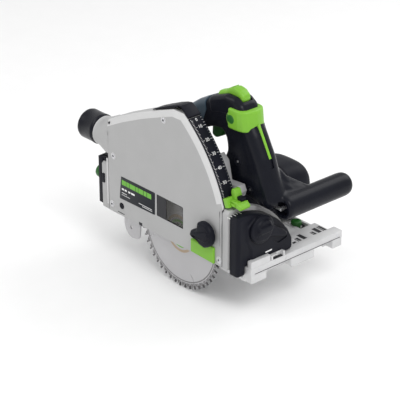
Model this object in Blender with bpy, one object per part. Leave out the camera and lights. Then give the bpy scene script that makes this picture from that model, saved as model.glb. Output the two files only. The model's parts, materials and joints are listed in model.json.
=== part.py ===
"""Track plunge saw: a solid model made of separate named pieces.

Lengths are in millimetres in the tables below and become metres when a mesh
is made.  X is the travel direction, Y points from the blade side to the motor
side, Z is up.  The origin lies on the sole, level with the saw arbor in X.
"""
import math

import bmesh
import bpy
from mathutils import Matrix, Vector

MM = 0.001

# ---- driving dimensions, mm -------------------------------------------------
BLADE_Y = -90.0
BLADE_Z = 25.0
BLADE_R = 80.0
BLADE_BODY_R = 71.0
BLADE_TEETH = 48
PLUNGE_X = -115.0
PLUNGE_Z = 30.0
MOTOR_X = 16.0
MOTOR_Z = 46.1
HOUSE_X = 19.0
HOUSE_Z = 51.5
MOTOR_R = 41.0
MOTOR_END = 98.0
GEAR_TEETH = 41
PINION_TEETH = 12
BASE_REAR = -168.0
BASE_FRONT = 134.0
BASE_NEAR = -85.0
BASE_FAR = 84.0
PLATE_T = 4.5
RIDGE_T = 8.5
BAR_BOTTOM = 12.0
BAR_TOP = 22.0
HOOD_OUT = -102.0
HOOD_IN = -78.0
HOOD_ARC = 223.0
SECTOR_FRONT = (96.8, 107.2)
SECTOR_REAR = (-152.5, -138.6)
FRONT_BOLT = (-62.8, 72.3)
REAR_BOLT = (-66.0, 61.5)
REAR_WING = (-83.2, 54.2)
SECTOR_FRONT_R = 101.0
SECTOR_REAR_R = 83.6
HANDLE_NEAR = -57.0
HANDLE_FAR = -23.0
GAP = 0.3
DIALS = (62.0, -108.0)
DIAL_Y = 68.4
POCKETS = (
    ((92.0, 117.4), (75.8, 82.4)),
    ((92.0, 117.4), (66.6, 73.4)),
    ((98.0, 113.0), (57.4, 63.4)),
    ((92.0, 117.4), (38.0, 45.0)),
    ((97.0, 114.6), (28.4, 35.0)),
    ((103.0, 116.0), (18.4, 25.0)),
)
AUX_CENTRE = (141.0, 98.0)
LEVER_HUB = (69.0, 203.0)

MATERIALS = {}


def clear_scene():
    """Remove every object so the file starts empty."""
    for obj in list(bpy.data.objects):
        bpy.data.objects.remove(obj, do_unlink=True)


def material(name, colour, metallic=0.0, roughness=0.5):
    """Return a Principled material by name, made once."""
    if name not in MATERIALS:
        mat = bpy.data.materials.new(name)
        mat.use_nodes = True
        node = mat.node_tree.nodes["Principled BSDF"]
        node.inputs["Base Color"].default_value = (*colour, 1.0)
        node.inputs["Metallic"].default_value = metallic
        node.inputs["Roughness"].default_value = roughness
        mat.diffuse_color = (*colour, 1.0)
        MATERIALS[name] = mat
    return MATERIALS[name]


def silver():
    return material("cast_silver", (0.62, 0.63, 0.64), 0.6, 0.45)


def hood_grey():
    return material("hood_grey", (0.50, 0.50, 0.50), 0.2, 0.45)


def dark():
    return material("dark_housing", (0.03, 0.035, 0.05), 0.0, 0.5)


def rubber():
    return material("grip_rubber", (0.07, 0.10, 0.12), 0.0, 0.7)


def green():
    return material("signal_green", (0.20, 0.55, 0.06), 0.0, 0.45)


def steel():
    return material("bright_steel", (0.70, 0.71, 0.73), 1.0, 0.3)


def copper():
    return material("copper", (0.75, 0.38, 0.20), 1.0, 0.4)


# ---- mesh helpers -----------------------------------------------------------
def to_world(axis, a, b, t):
    """Place plane coordinates a, b and depth t for the extrusion axis."""
    if axis == "X":
        return Vector((t, a, b)) * MM
    if axis == "Y":
        return Vector((a, t, b)) * MM
    return Vector((a, b, t)) * MM


def finish(bm, name, mat, smooth=False):
    """Turn a bmesh into a named object with one material."""
    bmesh.ops.recalc_face_normals(bm, faces=bm.faces)
    mesh = bpy.data.meshes.new(name)
    bm.to_mesh(mesh)
    bm.free()
    mesh.materials.append(mat)
    for face in mesh.polygons:
        face.use_smooth = smooth
    obj = bpy.data.objects.new(name, mesh)
    bpy.context.scene.collection.objects.link(obj)
    return obj


def prism(name, points, axis, low, high, mat):
    """Extrude a closed plane outline between two depths."""
    bm = bmesh.new()
    lower = [bm.verts.new(to_world(axis, a, b, low)) for a, b in points]
    upper = [bm.verts.new(to_world(axis, a, b, high)) for a, b in points]
    bm.faces.new(lower)
    bm.faces.new(upper)
    count = len(points)
    for i in range(count):
        j = (i + 1) % count
        bm.faces.new((lower[i], lower[j], upper[j], upper[i]))
    return finish(bm, name, mat)


def box(name, x, y, z, mat):
    """Make a box from three (low, high) pairs."""
    outline = [(x[0], y[0]), (x[1], y[0]), (x[1], y[1]), (x[0], y[1])]
    return prism(name, outline, "Z", z[0], z[1], mat)


def ring_points(axis, centre, radius, depth, segments, turn=0.0):
    """Return the points of one circle about the axis."""
    points = []
    for i in range(segments):
        angle = turn + 2.0 * math.pi * i / segments
        a = centre[0] + radius * math.cos(angle)
        b = centre[1] + radius * math.sin(angle)
        points.append(to_world(axis, a, b, depth))
    return points


def turned(name, axis, centre, profile, mat, segments=24, closed=False):
    """Turn a profile of (radius, depth) pairs about an axis.

    An open profile gets flat end caps; a closed one makes a ring.
    """
    bm = bmesh.new()
    rings = []
    for radius, depth in profile:
        points = ring_points(axis, centre, radius, depth, segments)
        rings.append([bm.verts.new(p) for p in points])
    last = len(rings)
    spans = range(last) if closed else range(last - 1)
    for i in spans:
        one = rings[i]
        two = rings[(i + 1) % last]
        for k in range(segments):
            m = (k + 1) % segments
            bm.faces.new((one[k], one[m], two[m], two[k]))
    if not closed:
        bm.faces.new(rings[0])
        bm.faces.new(rings[-1])
    return finish(bm, name, mat, smooth=True)


def rod(name, axis, centre, radius, low, high, mat, segments=20):
    """Make a plain round rod."""
    return turned(name, axis, centre, [(radius, low), (radius, high)], mat, segments)


def tube(name, axis, centre, outer, inner, low, high, mat, segments=24):
    """Make a plain round tube."""
    profile = [(outer, low), (outer, high), (inner, high), (inner, low)]
    return turned(name, axis, centre, profile, mat, segments, closed=True)


def bake(obj):
    """Replace the mesh of an object by its modified mesh."""
    depsgraph = bpy.context.evaluated_depsgraph_get()
    baked = bpy.data.meshes.new_from_object(obj.evaluated_get(depsgraph))
    baked.name = obj.name
    obj.modifiers.clear()
    obj.data = baked
    return obj


def combine(obj, other, operation):
    """Apply one exact boolean and drop the other object."""
    modifier = obj.modifiers.new("join", "BOOLEAN")
    modifier.operation = operation
    modifier.solver = "EXACT"
    modifier.object = other
    bake(obj)
    bpy.data.objects.remove(other, do_unlink=True)
    return obj


def cut(obj, *others):
    """Take shapes away from an object."""
    for other in others:
        combine(obj, other, "DIFFERENCE")
    return obj


def join(obj, *others):
    """Add shapes to an object."""
    for other in others:
        combine(obj, other, "UNION")
    return obj


def round_edges(obj, width, segments=1, angle=40.0):
    """Bevel the sharp edges of an object."""
    modifier = obj.modifiers.new("round", "BEVEL")
    modifier.width = width * MM
    modifier.segments = segments
    modifier.limit_method = "ANGLE"
    modifier.angle_limit = math.radians(angle)
    modifier.use_clamp_overlap = True
    return bake(obj)


def arc(centre, radius, start, end, steps):
    """Return points on an arc, angles in degrees."""
    points = []
    for i in range(steps + 1):
        angle = math.radians(start + (end - start) * i / steps)
        x = centre[0] + radius * math.cos(angle)
        y = centre[1] + radius * math.sin(angle)
        points.append((x, y))
    return points


def band(centre, inner, outer, start, end, steps):
    """Return the outline of a curved band."""
    outside = arc(centre, outer, start, end, steps)
    inside = arc(centre, inner, end, start, steps)
    return outside + inside


def slot_cutter(radius, width, start, end, low, high):
    """Curved slot about the bevel axis with round ends."""
    centre = (BLADE_Y, 0.0)
    half = width / 2.0
    outline = arc(centre, radius + half, start, end, 12)
    outline += arc(polar(centre, radius, end), half, end, end + 180.0, 5)[1:-1]
    outline += arc(centre, radius - half, end, start, 12)
    outline += arc(polar(centre, radius, start), half, start + 180.0, start + 360.0, 5)[1:-1]
    return prism("slot_tool", outline, "X", low, high, dark())


def polar(centre, radius, angle):
    """Point at an angle in degrees from a centre."""
    turn = math.radians(angle)
    return (centre[0] + radius * math.cos(turn), centre[1] + radius * math.sin(turn))


def bolt_angle(bolt):
    """Angle of a clamp bolt about the bevel axis, degrees."""
    return math.degrees(math.atan2(bolt[1], bolt[0] - BLADE_Y))


def bolt_radius(bolt):
    """Distance of a clamp bolt from the bevel axis."""
    return math.hypot(bolt[1], bolt[0] - BLADE_Y)


def offset(points, distance):
    """Move a closed outline outwards (or inwards when negative)."""
    count = len(points)
    area = 0.0
    for i in range(count):
        x0, y0 = points[i]
        x1, y1 = points[(i + 1) % count]
        area += x0 * y1 - x1 * y0
    sign = 1.0 if area > 0 else -1.0
    moved = []
    for i in range(count):
        before = Vector(points[i]) - Vector(points[i - 1])
        after = Vector(points[(i + 1) % count]) - Vector(points[i])
        n0 = Vector((before.y, -before.x)).normalized() * sign
        n1 = Vector((after.y, -after.x)).normalized() * sign
        middle = (n0 + n1) / (1.0 + n0.dot(n1))
        point = Vector(points[i]) + middle * distance
        moved.append((point.x, point.y))
    return moved


def pillow(name, points, low, high, inset, depth, mat, steps=3):
    """Extrude an outline along Y with rounded side edges."""
    rings = []
    for i in range(steps + 1):
        turn = math.pi / 2.0 * i / steps
        rings.append((inset * (1.0 - math.sin(turn)), low + depth * (1.0 - math.cos(turn))))
    rings += [(d, low + high - y) for d, y in reversed(rings)]
    bm = bmesh.new()
    loops = []
    for d, y in rings:
        outline = offset(points, -d)
        loops.append([bm.verts.new(to_world("Y", a, b, y)) for a, b in outline])
    count = len(points)
    for one, two in zip(loops[:-1], loops[1:]):
        for i in range(count):
            j = (i + 1) % count
            bm.faces.new((one[i], one[j], two[j], two[i]))
    bm.faces.new(loops[0])
    bm.faces.new(loops[-1])
    return finish(bm, name, mat)


# ---- base -------------------------------------------------------------------
def base_plate():
    """Sole plate with rail channel, front bar, feet, slots and dial recesses."""
    plate = box("base_plate", (BASE_REAR, 122.0), (BASE_NEAR, BASE_FAR), (0.0, PLATE_T), silver())
    join(plate, box("t", (BASE_REAR, 118.0), (31.0, 64.0), (1.0, RIDGE_T), silver()))
    join(plate, box("t", (BASE_REAR, 118.0), (80.0, BASE_FAR), (1.0, RIDGE_T), silver()))
    join(plate, box("t", (118.0, 122.0), (BASE_NEAR, BASE_FAR), (1.0, 15.0), silver()))
    join(plate, box("t", (82.0, 119.0), (14.0, 83.7), (1.0, 13.5), silver()))
    join(plate, box("t", (118.5, BASE_FRONT), (BASE_NEAR, BASE_FAR), (BAR_BOTTOM, BAR_TOP), silver()))
    join(plate, box("t", (126.4, BASE_FRONT - 0.5), (-84.0, -50.0), (20.0, 31.5), silver()))
    for low, high in ((-47.6, -44.6), (-26.0, -23.4)):
        join(plate, box("t", (126.6, BASE_FRONT - 0.7), (low, high), (20.0, 28.6), silver()))
    for low, high in ((-84.5, -57.0), (-12.0, 31.0), (65.5, 83.5)):
        join(plate, box("t", (121.0, BASE_FRONT), (low, high), (0.5, 13.0), silver()))
    for low, high in ((-84.5, -57.0), (-12.0, 31.0), (65.5, 83.5)):
        join(plate, box("t", (121.0, BASE_FRONT + 0.4), (low + 1, high - 1), (0.0, 11.0), silver()))
    cut(plate, box("c", (BASE_REAR - 5, 122.5), (35.0, 60.0), (-1.0, 4.6), dark()))
    cut(plate, box("c", (-34.0, 40.0), (BASE_NEAR - 5, -38.0), (-1.0, 10.0), dark()))
    for x, y in POCKETS:
        cut(plate, box("c", x, y, (6.6, 20.0), dark()))
    for x in DIALS:
        cut(plate, rod("c", "Z", (x, DIAL_Y), 6.2, -1.0, 20.0, dark()))
    return plate


def rail_cam(name, x):
    """Green dial that takes up the play on the rail rib."""
    dial = turned(name, "Z", (x, DIAL_Y), [(5.9, 0.4), (5.9, 4.8), (5.9, 9.2)], green())
    knob = rod("t", "Z", (x, DIAL_Y), 7.5, 8.9, 15.0, green())
    join(dial, knob)
    cut(dial, box("c", (x - 1.2, x + 1.2), (DIAL_Y - 6.0, DIAL_Y + 6.0), (13.4, 17.0), green()))
    return dial


def front_quadrant():
    """Dark front cover fixed on the base, round about the bevel axis."""
    centre = (BLADE_Y, 0.0)
    outline = [(-100.0, 9.4)]
    outline += [(y, z) for y, z in arc(centre, 96.0, 96.0, 24.0, 14)]
    outline += [(-2.4, 39.0), (-2.4, BAR_TOP + GAP)]
    outline += [(-85.5, BAR_TOP + GAP), (-85.5, 9.4)]
    cover = prism("front_quadrant", outline, "X", 107.8, 126.0, dark())
    round_edges(cover, 2.5, 2)
    cut(cover, rod("c", "X", FRONT_BOLT, 4.5, 100.0, 130.0, dark()))
    return cover


def rear_quadrant():
    """Dark rear cover fixed on the base, with a lip over the rear sector."""
    centre = (BLADE_Y, 0.0)
    outline = [(-100.0, 17.0)]
    outline += arc(centre, 88.0, 96.5, 26.0, 12)
    outline += [(-11.0, PLATE_T + GAP), (-84.5, PLATE_T + GAP), (-84.5, 17.0)]
    cover = prism("rear_quadrant", outline, "X", -162.5, -153.0, dark())
    lip = prism("t", band(centre, 84.3, 88.0, 96.0, 40.0, 10), "X", -153.4, -138.9, dark())
    join(cover, lip)
    cut(cover, rod("c", "X", REAR_BOLT, 4.5, -170.0, -145.0, dark()))
    notch = box("c", (-170.0, -150.0), (30.7, 64.3), (-1.0, 9.0), dark())
    cut(cover, notch)
    return cover


def clamp_bolt(name, centre, head, shank):
    """Clamp bolt with its head inside the stepped slot."""
    bolt = turned(name, "X", centre, [(7.4, head[0]), (7.4, head[1])], steel(), 24)
    join(bolt, rod("t", "X", centre, 3.9, shank[0], shank[1], steel()))
    return bolt


def front_clamp_knob():
    """Front bevel clamp: round dial with a short lever."""
    y, z = FRONT_BOLT
    profile = [(22.0, 126.4), (22.0, 134.0), (19.0, 137.5)]
    knob = turned("front_clamp_knob", "X", FRONT_BOLT, profile, dark(), 28)
    lever = [(y + 8, z + 9), (y + 42, z - 14), (y + 44, z - 20), (y + 38, z - 24), (y - 2, z - 16)]
    join(knob, prism("t", lever, "X", 127.2, 134.2, dark()))
    return knob


def rear_clamp_knob():
    """Rear bevel clamp: round green knob with one rounded wing."""
    profile = [(12.0, -162.9), (12.0, -169.0), (18.4, -171.0), (18.4, -181.0), (15.0, -184.0)]
    knob = turned("rear_clamp_knob", "X", REAR_BOLT, profile, green(), 28)
    join(knob, rod("t", "X", REAR_WING, 10.2, -180.6, -171.4, green(), 24))
    return knob


# ---- tilting head -----------------------------------------------------------
def hood_outline(inset=0.0):
    """Side outline of the hood; the inset moves it inwards."""
    centre = (PLUNGE_X, PLUNGE_Z)
    d = inset
    outline = [(-138.3 + d, 13.5), (-138.3 + d, 100.0 + d * 0.5), (-152.0 + d, 108.0 + d * 0.5)]
    outline += [(-152.0 + d, 143.5 - d), (-109.0 + d * 0.4, 165.5 - d * 1.1)]
    outline += [(-66.0 + d * 0.4, 184.5 - d * 1.1), (-31.0 + d * 0.4, 198.5 - d * 1.1)]
    outline += [(-6.0 + d * 0.2, 208.0 - d * 1.2)]
    outline += arc(centre, HOOD_ARC - d, 56.0 - d * 0.12, 19.0, 16)
    outline += [(96.4 - d, 101.0), (96.4 - d, 16.5)]
    return outline


def hood_shell():
    """Blade guard housing with open underside and suction neck."""
    shell = prism("hood_shell", hood_outline(), "Y", HOOD_OUT + 2.0, HOOD_IN, hood_grey())
    neck = turned("t", "X", (-81.0, 117.5), [(24.0, -140.0), (21.5, -156.0), (21.2, -171.5)],
                  hood_grey(), 28)
    cut(neck, box("c", (-149.5, -100.0), (-110.0, -40.0), (80.0, 150.0), dark()))
    cut(neck, box("c", (-152.4, -100.0), (-115.0, -99.9), (80.0, 150.0), dark()))
    join(shell, neck)
    inner = hood_outline(3.0)
    inner[0] = (inner[0][0], 5.0)
    inner[-1] = (inner[-1][0], 5.0)
    cut(shell, prism("c", inner, "Y", HOOD_OUT, HOOD_IN - 3.0, dark()))
    cut(shell, rod("c", "X", (-81.0, 117.5), 17.6, -180.0, -153.5, dark(), 28))
    cut(shell, box("c", (-156.0, -145.0), (-96.0, -81.5), (106.0, 129.0), dark()))
    opening = [(-98.0, 0.0), (-98.0, 40.0), (-116.0, 48.0), (-118.0, 66.0), (-100.0, 90.0)]
    opening += [(-85.0, 100.0), (-30.0, 117.0), (28.0, 117.0)]
    opening += [(42.0, 65.0), (42.0, 0.0)]
    cut(shell, prism("c", opening, "Y", HOOD_IN - 6.0, HOOD_IN + 3.0, dark()))
    cut(shell, rod("c", "Y", (PLUNGE_X, PLUNGE_Z), 6.2, HOOD_IN - 6.0, HOOD_IN + 3.0, dark()))
    return shell


def hood_cover():
    """Outer side plate of the guard with a window."""
    cover = prism("hood_cover", hood_outline(), "Y", HOOD_OUT, HOOD_OUT + 1.7, hood_grey())
    cut(cover, box("c", (-34.5, 19.5), (-110.0, -95.0), (43.0, 75.0), dark()))
    return cover


def window_pane():
    """Clear pane set in the cover window."""
    return box("window_pane", (-34.2, 19.2), (HOOD_OUT + 0.3, HOOD_OUT + 1.5), (43.3, 74.7), dark())


def nameplate():
    """Plain dark plate on the cover."""
    outline = [(-110.0, 74.6), (-114.0, 40.2), (-38.6, 42.0), (-38.0, 75.4)]
    return prism("info_plate", outline, "Y", HOOD_OUT - 1.0, HOOD_OUT - 0.2, dark())


def cover_screw(index, x, z):
    """One screw of the cover."""
    profile = [(4.2, HOOD_OUT - 0.2), (4.2, HOOD_OUT - 1.2), (3.2, HOOD_OUT - 1.9)]
    screw = turned("cover_screw_%d" % index, "Y", (x, z), profile, steel(), 20)
    cut(screw, rod("c", "Y", (x, z), 1.9, HOOD_OUT - 1.0, HOOD_OUT - 4.0, dark(), 6))
    return screw


def depth_scale():
    """Curved scale strip on the front of the guard."""
    centre = (PLUNGE_X, PLUNGE_Z)
    outline = band(centre, HOOD_ARC + GAP, HOOD_ARC + 2.4, 18.6, 50.5, 18)
    return prism("depth_scale", outline, "Y", -99.5, -78.2, dark())


def scale_end_block():
    """Dark end piece at the top of the scale, running over the hood roof."""
    centre = (PLUNGE_X, PLUNGE_Z)
    inside = arc(centre, HOOD_ARC + GAP, 50.8, 56.4, 4)
    inside += [(-6.2, 208.4), (-31.0, 199.0), (-45.0, 193.5)]
    outside = [(-44.0, 196.5), (-8.0, 212.5), (12.0, 218.0)]
    outside += arc(centre, HOOD_ARC + 4.5, 53.5, 50.8, 3)
    return prism("scale_end_block", inside + outside, "Y", -99.0, -78.2, dark())


def front_sector():
    """Light plate of the head that turns behind the front quadrant."""
    centre = (BLADE_Y, 0.0)
    low, high = SECTOR_FRONT
    outline = [(-102.0, 16.0), (-102.0, 96.0), (-98.0, 100.4)]
    outline += arc(centre, SECTOR_FRONT_R, 92.0, 14.0, 18)
    outline += [(4.0, 16.0)]
    plate = prism("front_sector", outline, "X", low, high, hood_grey())
    radius = bolt_radius(FRONT_BOLT)
    angle = bolt_angle(FRONT_BOLT)
    cut(plate, slot_cutter(radius, 9.0, angle - 48.5, angle + 2.5, 90.0, 110.0))
    cut(plate, slot_cutter(radius, 16.0, angle - 48.5, angle + 2.5, 90.0, 102.0))
    return plate


def rear_sector():
    """Rear plate of the head with the plunge bearing lug."""
    centre = (BLADE_Y, 0.0)
    low, high = SECTOR_REAR
    outline = [(-102.0, 14.0), (-102.0, 80.0)]
    outline += arc(centre, SECTOR_REAR_R, 96.0, 15.0, 14)
    outline += [(-9.5, 14.0)]
    plate = prism("rear_sector", outline, "X", low, high, hood_grey())
    radius = bolt_radius(REAR_BOLT)
    angle = bolt_angle(REAR_BOLT)
    cut(plate, slot_cutter(radius, 9.0, angle - 48.5, angle + 2.5, -160.0, -130.0))
    cut(plate, slot_cutter(radius, 16.0, angle - 48.5, angle + 2.5, -145.0, -130.0))
    lug = [(-139.5, 16.0), (-108.0, 16.0), (-102.0, 24.0), (-102.0, 36.0), (-108.0, 43.0), (-139.5, 43.0)]
    join(plate, prism("t", lug, "Y", -58.6, -50.0, hood_grey()))
    cut(plate, rod("c", "Y", (PLUNGE_X, PLUNGE_Z), 6.2, -62.0, -45.0, dark()))
    return plate


def splinter_guard():
    """Green splinter guard sliding on the cover."""
    outline = [(37.3, 18.2), (83.0, 17.0), (83.0, 40.5), (76.0, 40.5), (70.0, 37.5), (37.3, 37.5)]
    guard = prism("splinter_guard", outline, "Y", HOOD_OUT - 3.2, HOOD_OUT - 0.3, green())
    return guard


def splinter_knob():
    """Dark turning knob above the splinter guard."""
    x, z = 68.0, 55.0
    outline = arc((x, z), 19.0, -35.0, 215.0, 16)
    outline += [(x - 9.0, z - 19.0), (x + 9.0, z - 19.0)]
    knob = prism("splinter_knob", outline, "Y", HOOD_OUT - 13.0, HOOD_OUT - 3.6, dark())
    round_edges(knob, 2.0, 1)
    join(knob, rod("t", "Y", (x, z), 8.0, HOOD_OUT - 4.5, HOOD_OUT - 0.3, dark()))
    return knob


def depth_stop():
    """Green stop that runs along the scale."""
    centre = (PLUNGE_X, PLUNGE_Z)
    body = prism("depth_stop", band(centre, HOOD_ARC + 2.8, HOOD_ARC + 10.0, 18.7, 22.0, 2),
                 "Y", -99.5, -76.5, green())
    lever = [(103.0, 108.0), (122.0, 104.5), (123.5, 109.0), (118.0, 113.0), (101.0, 113.5)]
    join(body, prism("t", lever, "Y", -94.0, -76.5, green()))
    tab = [(101.5, 111.0), (108.5, 111.0), (106.0, 126.0), (99.0, 127.0)]
    join(body, prism("t", tab, "Y", -88.0, -77.5, green()))
    return body


def dust_port():
    """Swivelling suction collar."""
    centre = (-81.0, 117.5)
    profile = [(21.0, -171.9), (21.4, -202.0), (20.6, -206.0), (17.6, -206.0), (15.4, -172.0)]
    profile += [(15.4, -157.0), (17.2, -157.0), (17.2, -171.9)]
    return turned("dust_port", "X", centre, profile, dark(), 28, closed=True)


def plunge_pin():
    """Pivot pin of the plunging unit."""
    return rod("plunge_pin", "Y", (PLUNGE_X, PLUNGE_Z), 5.9, -80.9, -50.2, steel(), 28)


# ---- plunging unit ----------------------------------------------------------
def gear_case():
    """Cast gear case with pivot arm, stop lug and knife holder."""
    arbor = (0.0, BLADE_Z)
    motor = (MOTOR_X, MOTOR_Z)
    near, far = -76.2, -45.2
    case = rod("gear_case", "Y", motor, 31.0, near, far, silver(), 32)
    join(case, rod("t", "Y", arbor, 23.8, near + 0.1, far - 0.1, silver(), 32))
    web = [(-16.0, 6.0), (-22.0, 22.0), (-14.0, 60.0), (20.0, 30.0), (14.0, 6.0)]
    join(case, prism("t", web, "Y", near + 0.2, far - 0.2, silver()))
    arm = [(0.0, 72.0), (-60.0, 58.0), (-118.0, 43.0), (-118.0, 17.0), (-60.0, 12.0), (-6.0, 8.0)]
    join(case, prism("t", arm, "Y", near + 0.3, near + 15.0, silver()))
    join(case, rod("t", "Y", (PLUNGE_X, PLUNGE_Z), 13.5, near + 0.15, near + 16.0, silver(), 32))
    lug = [(26.0, 58.0), (44.0, 60.0), (74.0, 104.0), (99.0, 110.0), (102.0, 118.0), (98.0, 126.0)]
    lug += [(74.0, 124.0), (68.0, 150.0), (58.0, 158.0), (50.0, 148.0), (50.0, 120.0), (14.0, 74.0)]
    join(case, prism("t", lug, "Y", near + 0.4, near + 12.0, silver()))
    cut(case, rod("c", "Y", motor, 27.5, near + 3.0, far + 2.0, dark(), 28))
    cut(case, rod("c", "Y", arbor, 22.4, near + 3.0, far + 2.0, dark(), 28))
    cut(case, rod("c", "Y", arbor, 14.3, near - 2.0, near + 5.0, dark(), 24))
    cut(case, rod("c", "Y", (PLUNGE_X, PLUNGE_Z), 6.2, near - 2.0, near + 20.0, dark(), 28))
    holder = box("t", (-97.0, -82.0), (BLADE_Y + 1.4, near + 2.0), (44.0, 54.0), silver())
    join(case, holder)
    return case


def motor_shell():
    """Round motor housing with a slot for the speed wheel."""
    centre = (HOUSE_X, HOUSE_Z)
    shell = tube("motor_shell", "Y", centre, MOTOR_R, MOTOR_R - 3.0, -40.7, 58.0, dark(), 36)
    cut(shell, box("c", (HOUSE_X - 11.0, HOUSE_X + 11.0), (43.5, 51.5), (84.0, 110.0), dark()))
    return shell


def motor_end_cap():
    """End cap of the motor with air slots."""
    centre = (HOUSE_X, HOUSE_Z)
    r = MOTOR_R
    profile = [(r, 58.3), (r, 84.0), (r - 3.0, 92.0), (r - 10.0, MOTOR_END), (8.0, MOTOR_END)]
    profile += [(8.0, 94.5), (r - 11.5, 94.5), (r - 3.0, 83.0), (r - 3.0, 58.3)]
    cap = turned("motor_end_cap", "Y", centre, profile, dark(), 36, closed=True)
    for i in range(3):
        x = HOUSE_X - 14.0 + i * 14.0
        cut(cap, box("c", (x - 1.5, x + 1.5), (64.0, 84.0), (HOUSE_Z + 20.0, 110.0), dark()))
    disc = rod("t", "Y", centre, 9.0, 94.7, MOTOR_END - 0.2, dark(), 32)
    join(cap, disc)
    return cap


def handle_outline():
    """Outer side outline of the handle and its column."""
    return [(-66.0, 88.0), (-68.0, 112.0), (-66.0, 140.0), (-56.0, 163.0), (-38.0, 184.0),
            (-6.0, 207.0), (28.0, 224.0), (50.0, 231.0), (66.0, 230.0), (78.0, 222.0),
            (89.0, 207.0), (97.0, 192.0), (107.0, 172.0), (117.0, 148.0), (127.0, 126.0),
            (140.0, 112.0), (126.0, 92.0), (116.0, 99.5), (90.0, 101.5), (66.0, 97.0),
            (40.0, 86.0), (-12.0, 86.0)]


def finger_gap():
    """Outline of the opening for the hand."""
    return [(-38.0, 112.0), (-42.0, 132.0), (-32.0, 150.0), (0.0, 169.0), (28.0, 182.0),
            (46.0, 184.0), (53.0, 174.0), (56.0, 158.0), (46.0, 138.0), (10.0, 118.0),
            (-20.0, 107.0)]


def handle_body():
    """Closed handle on the motor housing, with finger opening."""
    body = pillow("handle_body", handle_outline(), HANDLE_NEAR, HANDLE_FAR, 7.5, 10.0, dark())
    near, far = HANDLE_NEAR - 5.0, HANDLE_FAR + 5.0
    cut(body, prism("c", finger_gap(), "Y", near, far, dark()))
    cut(body, rod("c", "Y", AUX_CENTRE, 16.9, near, far, dark(), 36))
    cut(body, rod("c", "Y", (HOUSE_X, HOUSE_Z), MOTOR_R + GAP, near, far, dark(), 48))
    cut(body, box("c", (20.0, 74.0), (-48.5, -31.5), (218.0, 250.0), dark()))
    cut(body, box("c", (110.0, 145.0), (-60.0, -37.6), (80.0, 102.0), dark()))
    cut(body, box("c", (10.0, 42.0), (-48.0, -32.0), (160.0, 192.0), dark()))
    return body


def grip_cover():
    """Soft cover over the rear and top of the grip."""
    shape = handle_outline()
    cover = pillow("grip_cover", offset(shape, 2.4), HANDLE_NEAR - 2.4, HANDLE_FAR + 2.4, 8.0, 10.5,
                   rubber())
    cut(cover, pillow("c", offset(shape, 0.3), HANDLE_NEAR - 0.3, HANDLE_FAR + 0.3, 7.5, 10.0, dark()))
    keep = [(-80.0, 138.0), (-48.0, 138.0), (-36.0, 158.0), (4.0, 178.0), (12.0, 182.0), (8.0, 226.0),
            (-80.0, 226.0)]
    combine(cover, prism("k", keep, "Y", -70.0, -10.0, dark()), "INTERSECT")
    return cover


def top_button():
    """Green slider button on the handle nose."""
    outline = [(24.0, 221.0), (70.0, 221.0), (73.0, 229.0), (70.0, 238.0), (61.0, 243.0), (50.0, 241.0),
               (40.0, 234.5), (27.0, 228.5)]
    return prism("top_button", outline, "Y", -48.0, -32.0, green())


def power_trigger():
    """Green trigger in the finger opening."""
    outline = [(13.0, 162.0), (22.0, 160.0), (34.0, 167.0), (39.0, 176.0), (37.0, 187.0), (14.0, 185.0)]
    return prism("power_trigger", outline, "Y", -46.5, -33.5, green())


def change_lever():
    """Green yoke lever around the column, for the blade change."""
    outline = arc(LEVER_HUB, 12.7, 60.0, 285.0, 10)
    outline += [(99.5, 191.0), (101.5, 193.5), (97.0, 204.0), (84.0, 218.0)]
    lever = pillow("change_lever", outline, HANDLE_NEAR - 3.4, HANDLE_FAR + 3.4, 5.0, 6.0, green(), 2)
    shape = offset(handle_outline(), 0.5)
    cut(lever, pillow("c", shape, HANDLE_NEAR - 0.5, HANDLE_FAR + 0.5, 7.5, 10.0, dark()))
    return lever


def column_inlay():
    """Green strip let into the front of the column."""
    outline = [(100.5, 185.6), (107.2, 172.2), (117.2, 148.2), (119.0, 149.0), (109.0, 173.0),
               (102.1, 186.4)]
    return prism("column_inlay", outline, "Y", -42.5, -37.5, green())


def aux_handle():
    """Round front handle with a bored near end."""
    profile = [(14.0, -38.0), (16.5, -35.5), (16.5, 72.0), (15.5, 77.0), (12.0, 80.5), (5.0, 82.0)]
    handle = turned("aux_handle", "Y", AUX_CENTRE, profile, dark(), 28)
    cut(handle, rod("c", "Y", AUX_CENTRE, 10.5, -45.0, -30.0, dark(), 16))
    cut(handle, rod("c", "Y", AUX_CENTRE, 3.2, -35.0, 60.0, dark(), 8))
    return handle


def hex_key():
    """Bent key stored in the front handle."""
    x, z = AUX_CENTRE
    key = rod("hex_key", "Y", AUX_CENTRE, 2.7, -41.0, 50.0, steel(), 6)
    join(key, box("t", (x - 25.0, x + 2.4), (-43.4, -38.5), (z - 2.4, z + 2.4), steel()))
    return key


def power_inlet():
    """Round inlet at the rear foot of the handle."""
    centre = (-40.0, 100.0)
    inlet = turned("power_inlet", "X", centre, [(12.5, -84.0), (13.0, -68.4)], dark(), 24)
    cut(inlet, rod("c", "X", centre, 9.0, -90.0, -71.0, dark(), 20))
    return inlet


def speed_dial():
    """Thumb wheel for the motor speed."""
    profile = [(8.5, 44.0), (9.5, 45.0), (9.5, 50.0), (8.5, 51.0)]
    return turned("speed_dial", "Y", (HOUSE_X, 92.0), profile, green(), 24)


def stator():
    """Laminated stator ring with two field poles."""
    centre = (MOTOR_X, MOTOR_Z)
    ring = tube("stator", "Y", centre, 31.4, 25.0, -15.0, 38.0, steel(), 28)
    for side in (-1.0, 1.0):
        one = MOTOR_Z + side * 17.8
        two = MOTOR_Z + side * 27.0
        join(ring, box("t", (MOTOR_X - 9.0, MOTOR_X + 9.0), (-14.0, 37.0), (min(one, two), max(one, two)),
                       steel()))
    return ring


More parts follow.
